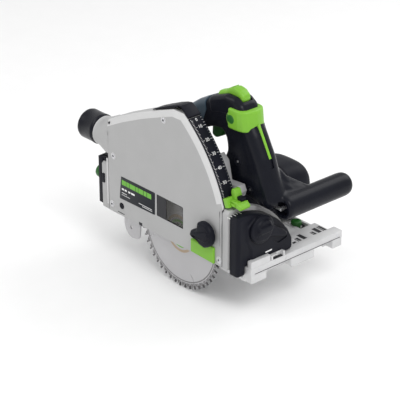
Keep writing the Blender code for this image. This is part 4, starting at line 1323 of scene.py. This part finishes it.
# ---------------------------------------------------------------------------
# Blade side
# ---------------------------------------------------------------------------
@dataclass
class BladeSet:
    """Toothed blade on its arbor, with the riving knife behind it."""

    centre: Point = (0.0, 25.0)
    y: float = -90.0
    teeth: int = 48
    tip: float = 80.0
    root: float = 71.0
    slots: int = 4

    @property
    def pitch(self) -> float:
        """The angle from one tooth to the next, in degrees."""
        return 360.0 / self.teeth

    def disc(self) -> bpy.types.Object:
        """The plate of the blade with gullets and expansion slots.

        Returns:
            The object.
        """
        outline: list[Point] = []
        shape = [(self.root + 1.8, -6.2), (self.root + 3.8, -4.2), (self.tip - 2.6, -2.6),
                 (self.tip - 0.9, -1.5), (self.tip - 0.8, -0.35), (self.tip - 4.6, -0.2),
                 (self.root + 0.9, 0.25), (self.root, 0.7), (self.root + 0.4, 1.1)]
        for i in range(self.teeth):
            outline += [polar(self.centre, radius, self.pitch * i + turn) for radius, turn in shape]
        disc = as_object("saw_disc", plate(outline, Axis.Y, self.y - 0.8, self.y + 0.8))
        carve(disc, turned([(10.0, self.y - 5.0), (10.0, self.y + 5.0)], Axis.Y, self.centre, 48))
        slot = ((58.0, -0.5), (64.0, 1.2), (73.0, 2.0), (73.0, 2.4), (64.0, 1.7), (58.0, 0.1))
        for i in range(self.slots):
            angle = 22.0 + 360.0 / self.slots * i
            line = [polar(self.centre, radius, angle + bend) for radius, bend in slot]
            carve(disc, plate(line, Axis.Y, self.y - 5.0, self.y + 5.0))
        return disc

    def edge(self) -> None:
        """The carbide tips, set a little to either side in turn, and the dark tooth backs."""
        tip_shape = ((self.tip - 5.0, -0.1), (self.tip, 0.15), (self.tip - 0.5, -1.4), (self.tip - 4.6, -1.0))
        back_shape = ((self.root + 1.0, -5.6), (self.root + 1.2, 0.2), (self.tip - 4.8, -0.9),
                      (self.tip - 2.9, -2.8), (self.root + 3.9, -4.2))
        tips, backs = [], []
        for i in range(self.teeth):
            at = self.pitch * i
            lean = 0.12 if i % 2 else -0.12
            tooth = [polar(self.centre, radius, at + turn) for radius, turn in tip_shape]
            tips.append(plate(tooth, Axis.Y, self.y - 1.15 + lean, self.y + 1.15 + lean))
            back = [polar(self.centre, radius, at + turn) for radius, turn in back_shape]
            backs.append(plate(back, Axis.Y, self.y - 0.84, self.y + 0.84))
        piece("carbide_tips", merge(tips), CARBIDE, "blade_set")
        piece("tooth_backs", merge(backs), BLADE_RIM, "blade_set")

    def build(self) -> None:
        """Make the blade, its rings, the arbor stack and the riving knife."""
        disc = self.disc()
        disc.data.materials.append(BLADE_STEEL.build())
        dress(disc, BLADE_STEEL, "blade_set", ("saw_blade",))
        ground = [(self.root - 2.0, self.y - 0.86), (self.root - 0.2, self.y - 0.86),
                  (self.root - 0.2, self.y + 0.86), (self.root - 2.0, self.y + 0.86)]
        piece("blade_ground_ring", turned(ground, Axis.Y, self.centre, 96, ring=True), BLADE_RIM, "blade_set")
        self.edge()
        for name, finish, inner, outer in (("blade_green_ring", PRINT_GREEN, 16.6, 20.6),
                                           ("blade_tan_ring", TAN_PRINT, 23.4, 27.4)):
            low, high = self.y - 0.84, self.y - 0.7
            ring = [(inner, low), (outer, low), (outer, high), (inner, high)]
            piece(name, turned(ring, Axis.Y, self.centre, 80, ring=True), finish, "blade_set")
        for node, edge in (("arbor", 0.5), ("inner_flange", 0.5), ("outer_flange", 0.6), ("arbor_bolt", 0.5)):
            piece("turned_" + node, copy_node(node, edge, 2), STEEL, "blade_set", (node,))
        piece("cut_output_gear", copy_node("output_gear", 0.2, 1), STEEL, "blade_set", ("output_gear",))
        self.knife()

    def knife(self) -> None:
        """The riving knife with its rounded edge and hole."""
        lower = [(-119.0, 8.0), (-119.0, -4.0), (-116.5, -12.5), (-110.5, -19.0), (-102.0, -22.0),
                 (-89.0, -19.0), (-86.0, -15.0), (-84.0, -4.0)]
        outline = fillet(lower, [0.0, 6.0, 8.0, 10.0, 10.0, 4.0, 3.0, 0.0], 4)
        outline += arc(self.centre, 84.9, 190.5, 160.0, 16)
        outline += [(-104.0, 56.0), (-104.0, 40.0), (-114.0, 24.0)]
        rounded = round_over(0.35, 0.35, 2)
        knife = as_object("knife_plate", plate(outline, Axis.Y, self.y - 1.0, self.y + 1.0, rounded, rounded))
        carve(knife, turned([(2.4, self.y - 4.0), (2.4, self.y + 4.0)], Axis.Y, (-103.7, -5.3), 32))
        dress(knife, BLADE_STEEL, "knife", ("riving_knife",))


# ---------------------------------------------------------------------------
# Plunging unit
# ---------------------------------------------------------------------------
@dataclass
class GripHandle:
    """Closed handle melted into the round front handle, with its soft cover."""

    near: float = -56.6
    far: float = -23.4
    front_axis: Point = (141.0, 98.0)
    front_radius: float = 16.4

    def outline(self) -> list[Point]:
        """Rounded side outline of the handle.

        Returns:
            The outline.
        """
        corners = [(-66.0, 88.0), (-68.0, 112.0), (-66.0, 140.0), (-56.0, 163.0), (-38.0, 184.0),
                   (-6.0, 207.0), (28.0, 224.0), (50.0, 231.0), (68.0, 231.0), (79.0, 223.0),
                   (84.0, 207.0), (87.0, 192.0), (96.0, 172.0), (106.0, 148.0), (115.0, 126.0),
                   (126.0, 112.0), (122.0, 94.0), (112.0, 98.5), (90.0, 101.5), (66.0, 97.0),
                   (40.0, 86.0), (-12.0, 86.0)]
        return fillet(corners, 14.0, 4)

    def gap(self) -> list[Point]:
        """Rounded outline of the finger opening.

        Returns:
            The outline.
        """
        corners = [(-38.0, 112.0), (-42.0, 132.0), (-32.0, 150.0), (0.0, 169.0), (28.0, 182.0), (46.0, 184.0),
                   (53.0, 174.0), (56.0, 158.0), (46.0, 138.0), (10.0, 118.0), (-20.0, 107.0)]
        return fillet(corners, 12.0, 4)

    def core_parts(self) -> list[bmesh.types.BMesh]:
        """The closed meshes that are melted into the handle.

        Returns:
            The meshes.
        """
        rounded = round_over(7.8, 11.0, 7)
        body = as_object("grip_block", plate(self.outline(), Axis.Y, self.near, self.far, rounded, rounded))
        carve(body, plate(self.gap(), Axis.Y, self.near - 4.0, self.far + 4.0))
        grip = bmesh.new()
        grip.from_mesh(body.data)
        bpy.data.objects.remove(body, do_unlink=True)
        profile = [(0.0, -38.0), (14.2, -38.0), (16.0, -36.6), (self.front_radius, -34.0),
                   (self.front_radius, 70.0), (15.6, 76.0), (13.0, 79.8), (9.0, 81.6), (0.0, 82.2)]
        bar = turned(profile, Axis.Y, self.front_axis, 56)
        wide = [(98.0, 156.0), (112.0, 152.0), (124.0, 130.0), (134.0, 117.0), (146.0, 113.5), (153.0, 104.0),
                (148.0, 88.0), (134.0, 84.0), (118.0, 96.0), (104.0, 106.0)]
        slim = [(126.0, 108.0), (130.0, 112.5), (136.0, 113.8), (141.0, 113.9), (146.0, 113.0),
                (152.0, 108.0), (152.0, 90.0), (141.0, 83.0), (132.0, 86.0), (127.0, 92.0)]
        middle = [(a[0] * 0.45 + b[0] * 0.55, a[1] * 0.45 + b[1] * 0.55) for a, b in zip(wide, slim)]
        rows = [[to_frame(Axis.Y, a, b, y) for a, b in ring]
                for ring, y in ((wide, -33.0), (wide, -28.0), (middle, -12.0), (slim, 14.0))]
        ridge = [(78.0, 212.0), (93.4, 205.0), (104.0, 190.0), (120.0, 162.0), (129.0, 138.0), (138.0, 118.0),
                 (143.0, 106.0), (128.0, 92.0), (106.0, 106.0), (90.0, 146.0), (74.0, 190.0)]
        domed = round_over(13.0, 15.0, 9)
        brow = plate(fillet(ridge, 4.0, 3), Axis.Y, -56.8, -23.2, domed, domed)
        return [grip, bar, loft(rows), brow]

    def core(self) -> None:
        """The dark handle with its bores and pockets."""
        handle = fuse("handle_shell", self.core_parts(), 1.5, 16)
        carve(handle, turned([(11.0, -46.0), (10.6, -37.4), (10.2, -31.0)], Axis.Y, self.front_axis, 40))
        carve(handle, turned([(3.2, -35.0), (3.2, 60.0)], Axis.Y, self.front_axis, 24))
        carve(handle, block((112.0, 143.0), (-70.0, -39.4), (92.6, 103.4), 2.0))
        groove = [(95.6, 201.0), (118.4, 160.6), (122.6, 149.0), (132.0, 152.0), (126.0, 170.0),
                  (104.0, 206.0)]
        carve(handle, plate(groove, Axis.Y, -42.7, -37.3))
        dress(handle, HANDLE_SKIN, "saw_unit", ("handle_body", "aux_handle"), crease=50.0)
        rim = [(11.0, -38.4), (13.6, -38.5), (14.3, -37.9), (14.0, -36.6), (11.0, -36.4)]
        mouth = turned(rim, Axis.Y, self.front_axis, 56, ring=True)
        piece("front_handle_rim", mouth, HANDLE_SKIN, "saw_unit")
        bed = [(93.6, 200.0), (116.4, 159.6), (120.8, 148.4), (122.4, 149.0), (118.2, 160.6), (95.4, 201.0)]
        piece("inlay_bed", plate(bed, Axis.Y, -42.8, -37.2), SHADOW, "saw_unit")
        strip = fillet([(94.6, 200.6), (117.4, 160.2), (119.8, 161.4), (97.4, 201.8)], 0.6, 2)
        rounded = round_over(0.4, 0.4, 2)
        inlay = plate(strip, Axis.Y, -42.1, -37.9, rounded, rounded)
        piece("lime_inlay", inlay, LIME, "saw_unit", ("column_inlay",))

    def cover(self) -> None:
        """The soft cover over the rear and the top of the grip."""
        grow = inset(self.outline(), -1.7)
        rounded = round_over(8.4, 11.6, 7)
        solid = plate(grow, Axis.Y, self.near - 1.5, self.far + 1.5, rounded, rounded)
        sleeve = as_object("soft_block", solid)
        hole = inset(self.gap(), 1.6)
        carve(sleeve, plate(hole, Axis.Y, self.near - 4.0, self.far + 4.0))
        part = bmesh.new()
        part.from_mesh(sleeve.data)
        bpy.data.objects.remove(sleeve, do_unlink=True)
        soft = fuse("soft_grip_cover", [part], 1.5, 14)
        keep = fillet([(-90.0, 134.0), (-48.0, 134.0), (-36.0, 154.0), (4.0, 172.0), (9.0, 186.0),
                       (15.0, 202.0), (12.0, 214.0), (2.0, 232.0), (-90.0, 232.0)], 8.0, 5)
        carve(soft, plate(keep, Axis.Y, -80.0, 0.0), "INTERSECT")
        dress(soft, SOFT_GRIP, "saw_unit", ("grip_cover",), crease=40.0)

    def nose(self) -> None:
        """The glossy hood of the handle's nose, round the button."""
        corners = [(16.0, 220.6), (50.0, 233.6), (68.0, 233.4), (80.0, 226.0), (88.5, 212.0), (82.0, 205.0),
                   (66.0, 207.0), (40.0, 203.0), (20.0, 196.0)]
        band = plate(fillet(corners, 7.0, 4), Axis.Y, self.near - 0.9, self.far + 0.9,
                     round_over(6.4, 8.8, 6), round_over(10.0, 12.4, 7))
        nose = fuse("nose_block", [band], 1.3, 8)
        button_slot = fillet([(24.0, 212.0), (74.0, 212.0), (80.0, 252.0), (24.0, 252.0)], 3.0, 3)
        carve(nose, plate(button_slot, Axis.Y, -48.8, -31.2))
        dress(nose, HANDLE_SKIN, "saw_unit", crease=50.0)

    def trim(self) -> None:
        """Screw bosses with their screws on the near side of the handle."""
        wells = ((76.0, 148.0, 6.4), (-50.0, 118.0, 4.6), (100.0, 116.0, 4.6), (-8.0, 98.0, 4.6))
        rings = []
        y = self.near
        for x, z, radius in wells:
            profile = [(radius - 2.2, y + 1.4), (radius - 1.8, y - 0.5), (radius - 0.6, y - 0.8),
                       (radius, y - 0.2), (radius + 0.2, y + 1.4)]
            rings.append(turned(profile, Axis.Y, (x, z), 36, ring=True))
        piece("handle_bosses", merge(rings), HOUSING, "saw_unit")
        head = [(0.0, y - 0.1), (1.9, y - 0.1), (2.1, y + 1.0)]
        heads = [turned(head, Axis.Y, (x, z), 6) for x, z, _ in wells]
        piece("handle_screws", merge(heads), STEEL, "saw_unit")

    def build(self) -> None:
        """Make the whole handle."""
        self.core()
        self.cover()
        self.nose()
        self.trim()


@dataclass
class GripControls:
    """Release button, trigger, change lever, key, inlet and speed wheel."""

    key_axis: Point = (141.0, 98.0)
    dial_axis: Point = (19.0, 92.0)
    lever_axis: Point = (66.6, 204.6)
    hub_cap: Point = (66.4, 205.4)
    inlet_axis: Point = (-40.0, 100.0)
    inlet_rings: tuple[float, ...] = (-80.0, -76.6)

    def button(self) -> None:
        """The lime release button with its peak."""
        outline = fillet([(24.5, 221.0), (71.0, 221.0), (75.5, 229.5), (74.0, 236.0), (67.0, 241.5),
                          (58.0, 243.2), (49.0, 240.6), (40.0, 234.2), (27.0, 229.6)], 4.0, 4)
        rounded = round_over(3.6, 4.4, 6)
        raw = plate(outline, Axis.Y, -47.6, -32.4, rounded, rounded)
        obj = fuse("lime_button", [raw], 0.9, 6)
        dress(obj, LIME, "release_button", ("top_button",), crease=60.0)
        ribs = []
        for i in range(4):
            x, z = 42.5 + i * 3.2, 234.6 + i * 1.9
            ribs.append(block((x, x + 1.0), (-45.4, -34.6), (z, z + 2.0), 0.3))
        piece("button_ribs", merge(ribs), LIME, "release_button")

    def trigger(self) -> None:
        """The rounded trigger."""
        outline = fillet([(13.4, 163.0), (21.0, 159.8), (33.0, 166.4), (39.0, 176.0), (37.4, 186.0),
                          (14.4, 184.6)], 4.5, 5)
        rounded = round_over(3.4, 4.4, 6)
        obj = fuse("green_trigger", [plate(outline, Axis.Y, -46.8, -33.2, rounded, rounded)], 0.8, 6)
        dress(obj, DEEP_GREEN_AND_SHADE, "trigger", ("power_trigger",), crease=60.0)

    @staticmethod
    def lean_back(bulk: bmesh.types.BMesh) -> None:
        """Lean the front of the fork back with its height, and lift it a little.

        Args:
            bulk: the fork, which is changed.
        """
        for vert in bulk.verts:
            share = max(0.0, vert.co.x / MM - 68.0) / 30.0
            vert.co.x -= share * (0.0008 + (vert.co.z - 0.1925) * 0.17)
            vert.co.z += share * (0.0012 if vert.co.z < 0.200 else 0.0004)

    def lever(self) -> None:
        """The lime change lever that wraps the head of the column, with a darker hub cap as painted shade."""
        plan = [(60.0, -61.0), (80.0, -61.0), (88.0, -59.4), (94.0, -55.0), (97.6, -48.0), (98.8, -40.0),
                (97.2, -32.6), (93.6, -26.0), (88.2, -21.4), (82.0, -20.4), (60.0, -20.4), (60.0, -28.6),
                (88.0, -28.6), (88.0, -51.6), (60.0, -51.6)]
        rounded = round_over(2.6, 2.6, 4)
        bulk = plate(fillet(plan, 2.0, 3), Axis.Z, 191.4, 220.0, rounded, rounded)
        self.lean_back(bulk)
        near = [(0.0, -60.2), (8.6, -60.2), (11.2, -58.8), (12.2, -56.0), (12.2, -51.6), (0.0, -51.6)]
        far = [(0.0, -28.6), (12.2, -28.6), (12.2, -24.0), (10.0, -20.8), (0.0, -20.8)]
        hubs = [turned(profile, Axis.Y, self.lever_axis, 56) for profile in (near, far)]
        obj = fuse("lime_lever", [bulk] + hubs, 1.0, 7)
        dress(obj, LIME, "lever", ("change_lever",), crease=60.0)
        # The hub's cap in the darker green is painted shade on the lever's rounded near end.
        hub = [(0.0, -61.2), (6.0, -61.0), (8.6, -60.2), (9.6, -58.8), (9.6, -56.0)]
        piece("lever_hub", turned(hub, Axis.Y, self.hub_cap, 48), DEEP_GREEN_AND_SHADE, "lever", crease=60.0)

    def key(self) -> None:
        """The stored hexagon key with its bent arm."""
        x, z = self.key_axis
        shaft = turned([(2.2, -41.0), (2.5, -40.4), (2.5, 49.0), (2.2, 50.0)], Axis.Y, self.key_axis, 6)
        bar = [(2.0, x - 27.0), (2.5, x - 26.4), (2.5, x + 1.9), (2.1, x + 2.5)]
        arm = turned(bar, Axis.X, (-41.0, z), 6)
        piece("bent_key", merge([shaft, arm]), STEEL, "key", ("hex_key",), crease=25.0)

    def wheel(self) -> None:
        """The speed wheel with its knurls."""
        piece("speed_wheel_disc", copy_node("speed_dial", 0.4, 2), LIME, "speed_wheel", ("speed_dial",))
        knurl = [(0.3, 44.8), (0.7, 45.4), (0.7, 49.6), (0.3, 50.2)]
        knurls = [turned(knurl, Axis.Y, polar(self.dial_axis, 9.4, i * 18.0), 8) for i in range(20)]
        piece("speed_wheel_knurls", merge(knurls), LIME, "speed_wheel")

    def inlet(self) -> None:
        """The power inlet with its two rings and two pins."""
        piece("inlet_socket", copy_node("power_inlet", 0.8, 2), HOUSING, "saw_unit", ("power_inlet",))
        y, z = self.inlet_axis
        pin = [(0.9, -80.4), (1.5, -79.6), (1.5, -70.6)]
        pins = [turned(pin, Axis.X, (y + shift, z), 20) for shift in (-3.6, 3.6)]
        piece("inlet_pins", merge(pins), STEEL, "saw_unit")
        piece("inlet_rings", merge([self.collar(x) for x in self.inlet_rings]), HOUSING, "saw_unit")

    def collar(self, x: float) -> bmesh.types.BMesh:
        """One raised ring round the inlet, which starts at x."""
        profile = [(12.2, x), (13.2, x), (13.6, x + 0.5), (13.6, x + 1.5), (13.2, x + 2.0), (12.2, x + 2.0)]
        return turned(profile, Axis.X, self.inlet_axis, 48, ring=True)

    def build(self) -> None:
        """Make every control."""
        self.button()
        self.trigger()
        self.lever()
        self.key()
        self.wheel()
        self.inlet()


@dataclass
class MotorUnit:
    """Motor housing, gear case and what turns inside them."""

    house: Point = (19.0, 51.5)
    radius: float = 41.0
    sides: int = 72
    gear_axis: Point = (16.0, 46.1)

    def oval(self, half_x: float, half_z: float, power: float) -> list[Point]:
        """A squared oval round the motor's middle.

        Args:
            half_x: half the width.
            half_z: half the height.
            power: 2 for an ellipse, more for squarer corners.

        Returns:
            The outline.
        """
        points = []
        for i in range(self.sides):
            turn = 2.0 * math.pi * i / self.sides
            c, s = math.cos(turn), math.sin(turn)
            x = half_x * math.copysign(abs(c) ** (2.0 / power), c)
            z = half_z * math.copysign(abs(s) ** (2.0 / power), s)
            points.append((self.house[0] + x, self.house[1] + z))
        return points

    def rows(self, profile: list[tuple[float, float, float, float]]) -> list[list[Vector]]:
        """Rings of points along the motor.

        Args:
            profile: half width, half height, squareness and Y of each ring.

        Returns:
            The rings.
        """
        return [[to_frame(Axis.Y, a, b, y) for a, b in self.oval(half_x, half_z, power)]
                for half_x, half_z, power, y in profile]

    def housing(self) -> None:
        """The squared housing, its cap and the seam between them."""
        r = self.radius
        body = [(r - 1.0, r - 1.0, 2.2, -40.4), (r, r, 2.3, -38.6), (r, r, 2.6, 20.0),
                (r, r - 0.4, 2.9, 57.0), (r - 0.8, r - 1.2, 2.9, 57.9)]
        shell = as_object("motor_housing", loft(self.rows(body)))
        carve(shell, block((8.2, 29.8), (43.6, 51.4), (83.0, 110.0), 0.5))
        dress(shell, HOUSING, "saw_unit", ("motor_shell",), crease=40.0)
        cap = [(r - 0.8, r - 1.2, 2.9, 58.1), (r, r - 0.4, 2.9, 59.0), (r + 0.8, r - 1.0, 3.1, 78.0),
               (r + 0.8, r - 2.0, 3.1, 87.0), (r, r - 4.0, 3.1, 93.0), (r - 1.6, r - 6.0, 3.1, 96.6),
               (r - 3.6, r - 8.2, 3.0, 98.6), (r - 6.4, r - 11.0, 2.9, 99.6), (r - 12.0, r - 16.0, 2.7, 99.9)]
        piece("motor_end", loft(self.rows(cap)), HOUSING, "saw_unit", ("motor_end_cap",), crease=40.0)
        seam = [(r - 1.2, r - 1.6, 2.9, 57.8), (r - 0.4, r - 0.8, 2.9, 57.8), (r - 0.4, r - 0.8, 2.9, 58.2),
                (r - 1.2, r - 1.6, 2.9, 58.2)]
        piece("housing_seam", loft(self.rows(seam), loop=True), SHADOW, "saw_unit")

    def cap_details(self) -> None:
        """Dark air slots on the cap's end and below it, with four bosses and their screws."""
        slots = []
        wide = (self.house[0] - 14.0, self.house[0] + 14.0)
        for i in range(4):
            z = self.house[1] - 17.0 + i * 9.6
            slots.append(block(wide, (99.4, 100.1), (z, z + 3.4), 0.2))
        for i in range(5):
            x = self.house[0] - 22.0 + i * 10.0
            slots.append(block((x, x + 4.0), (66.0, 84.0), (10.9, 11.8), 0.2))
        piece("cap_air_slots", merge(slots), SHADOW, "saw_unit")
        spots = [polar(self.house, 30.0, angle) for angle in (45.0, 135.0, 225.0, 315.0)]
        boss = [(3.0, 94.0), (5.0, 94.0), (5.0, 99.8), (4.4, 100.4), (3.6, 100.4), (3.0, 99.8)]
        wells = [turned(boss, Axis.Y, spot, 32, ring=True) for spot in spots]
        heads = [turned([(2.2, 98.0), (2.2, 99.95), (1.8, 100.1)], Axis.Y, spot, 6) for spot in spots]
        piece("cap_screw_bosses", merge(wells), HOUSING, "saw_unit")
        piece("cap_screws", merge(heads), STEEL, "saw_unit")

    def castings(self) -> None:
        """Gear case and bearing plate, with ribs and screw heads."""
        piece("gear_casting", copy_node("gear_case", 0.6, 2, 40.0), GEAR_CASTING, "saw_unit", ("gear_case",))
        piece("bearing_casting", copy_node("bearing_plate", 0.6, 2, 40.0), GEAR_CASTING, "saw_unit",
              ("bearing_plate",))
        head = [(0.0, -77.0), (2.6, -77.0), (3.0, -76.7), (3.0, -75.6), (0.0, -75.6)]
        heads = [turned(head, Axis.Y, polar(self.gear_axis, 27.0, angle), 24)
                 for angle in (30.0, 150.0, 270.0)]
        piece("case_screws", merge(heads), STEEL, "saw_unit")
        ribs = []
        for x0, z0, x1, z1 in ((-20.0, 44.0, -96.0, 34.0), (-16.0, 22.0, -96.0, 22.0),
                               (40.0, 66.0, 70.0, 108.0), (56.0, 120.0, 58.0, 150.0)):
            along = Vector((x1 - x0, z1 - z0)).normalized()
            side = Vector((-along.y, along.x)) * 1.2
            line = [(x0 + side.x, z0 + side.y), (x1 + side.x, z1 + side.y), (x1 - side.x, z1 - side.y),
                    (x0 - side.x, z0 - side.y)]
            ribs.append(plate(fillet(line, 1.0, 2), Axis.Y, -77.4, -75.4, round_over(0.6, 0.6, 2)))
        piece("case_ribs", merge(ribs), GEAR_CASTING, "saw_unit")

    def inside(self) -> None:
        """Stator, rotor, bearings and brushes."""
        for node, finish, body, edge in (
            ("stator", STEEL, "saw_unit", 0.3), ("arbor_bearing", STEEL, "saw_unit", 0.4),
            ("motor_bearing_front", STEEL, "saw_unit", 0.4), ("motor_bearing_rear", STEEL, "saw_unit", 0.4),
            ("brush_upper", CARBON, "saw_unit", 0.3), ("brush_lower", CARBON, "saw_unit", 0.3),
            ("armature", COPPER, "rotor", 0.4), ("motor_fan", HOUSING, "rotor", 0.2),
            ("pinion", STEEL, "rotor", 0.15),
        ):
            piece("inner_" + node, copy_node(node, edge, 1), finish, body, (node,))

    def build(self) -> None:
        """Make the housing and everything in it."""
        self.housing()
        self.cap_details()
        self.castings()
        self.inside()


# ---------------------------------------------------------------------------
# Studio
# ---------------------------------------------------------------------------
@dataclass
class Studio:
    """Pale floor, soft lights and the camera, in metres."""

    floor_z: float = -0.0565
    floor_half: float = 6.0
    air: float = 0.68
    lights: tuple[tuple[str, tuple[float, float, float], float, float], ...] = (
        ("key_light", (1.3, -0.5, 1.7), 1.0, 20.0),
        ("left_light", (-1.2, -1.3, 1.5), 1.2, 10.0),
        ("back_light", (0.2, 1.5, 1.4), 1.2, 11.0),
    )
    aim: tuple[float, float, float] = (0.0, 0.0, 0.08)
    sensor: float = 36.0
    azimuth: float = 48.51
    elevation: float = 26.285
    lens: float = 149.24
    spot: tuple[float, float, float] = (1.50339, -1.38436, 1.05479)

    def floor(self) -> None:
        """The plain pale floor, wide enough to fill the view."""
        bm = bmesh.new()
        half = self.floor_half
        corners = [(-half, -half), (half, -half), (half, half), (-half, half)]
        bm.faces.new([bm.verts.new((x, y, self.floor_z)) for x, y in corners])
        floor = as_object("studio_floor", bm)
        floor.data.materials.append(FLOOR.build())

    def light(self, name: str, at: tuple[float, float, float], size: float, watts: float) -> None:
        """One soft square light that faces the saw.

        Args:
            name: the light's name.
            at: its place in metres.
            size: its side in metres.
            watts: its power.
        """
        data = bpy.data.lights.new(name, "AREA")
        data.size = size
        data.energy = watts
        lamp = bpy.data.objects.new(name, data)
        bpy.context.scene.collection.objects.link(lamp)
        lamp.location = at
        way = Vector(self.aim) - Vector(at)
        lamp.rotation_mode = "QUATERNION"
        lamp.rotation_quaternion = way.to_track_quat("-Z", "Y")

    def camera(self) -> None:
        """The camera at the given azimuth and elevation."""
        data = bpy.data.cameras.new("camera")
        data.lens = self.lens
        data.sensor_width = self.sensor
        data.clip_start = 0.05
        data.clip_end = 50.0
        camera = bpy.data.objects.new("camera", data)
        bpy.context.scene.collection.objects.link(camera)
        a, e = math.radians(self.azimuth), math.radians(self.elevation)
        level = Vector((-math.sin(a), math.cos(a), 0.0))
        up = Vector((0.0, 0.0, 1.0))
        forward = level * math.cos(e) - up * math.sin(e)
        right = Vector((math.cos(a), math.sin(a), 0.0))
        top = level * math.sin(e) + up * math.cos(e)
        turn = Matrix((right, top, -forward)).transposed()
        camera.matrix_world = Matrix.Translation(self.spot) @ turn.to_4x4()
        bpy.context.scene.camera = camera

    def build(self) -> None:
        """Make the floor, the lights and the camera."""
        self.floor()
        world = bpy.data.worlds.new("studio_air")
        world.use_nodes = True
        background = world.node_tree.nodes["Background"]
        background.inputs["Color"].default_value = (1.0, 1.0, 1.0, 1.0)
        background.inputs["Strength"].default_value = self.air
        bpy.context.scene.world = world
        bpy.context.scene.view_settings.view_transform = "Standard"
        for name, at, size, watts in self.lights:
            self.light(name, at, size, watts)
        self.camera()


def cover_rest() -> None:
    """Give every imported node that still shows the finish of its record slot."""
    slots = {row["node"]: row["material_slot"] for row in frame["record"]["subparts"]}
    for name, node in frame["nodes"].items():
        if node.hide_render:
            continue
        finish = SLOT_FINISH[Slot(slots[name])]
        node.data.materials.clear()
        node.data.materials.append(finish.build())
        LOG.info("packed node %s keeps its shape in %s", name, finish.name)


def main() -> None:
    """Build every sub-assembly in order."""
    logging.basicConfig(level=logging.INFO, format="%(message)s")
    makers = [GuardHood(), DepthScale(), DepthStop(), SplinterGuard(), HeadEnds(), BevelClamps(), SolePlate(),
              BladeSet(), GripHandle(), GripControls(), MotorUnit()]
    for maker in makers:
        maker.build()
        LOG.info("finished %s", type(maker).__name__)
    cover_rest()
    Studio().build()


if __name__ == "__main__":
    main()
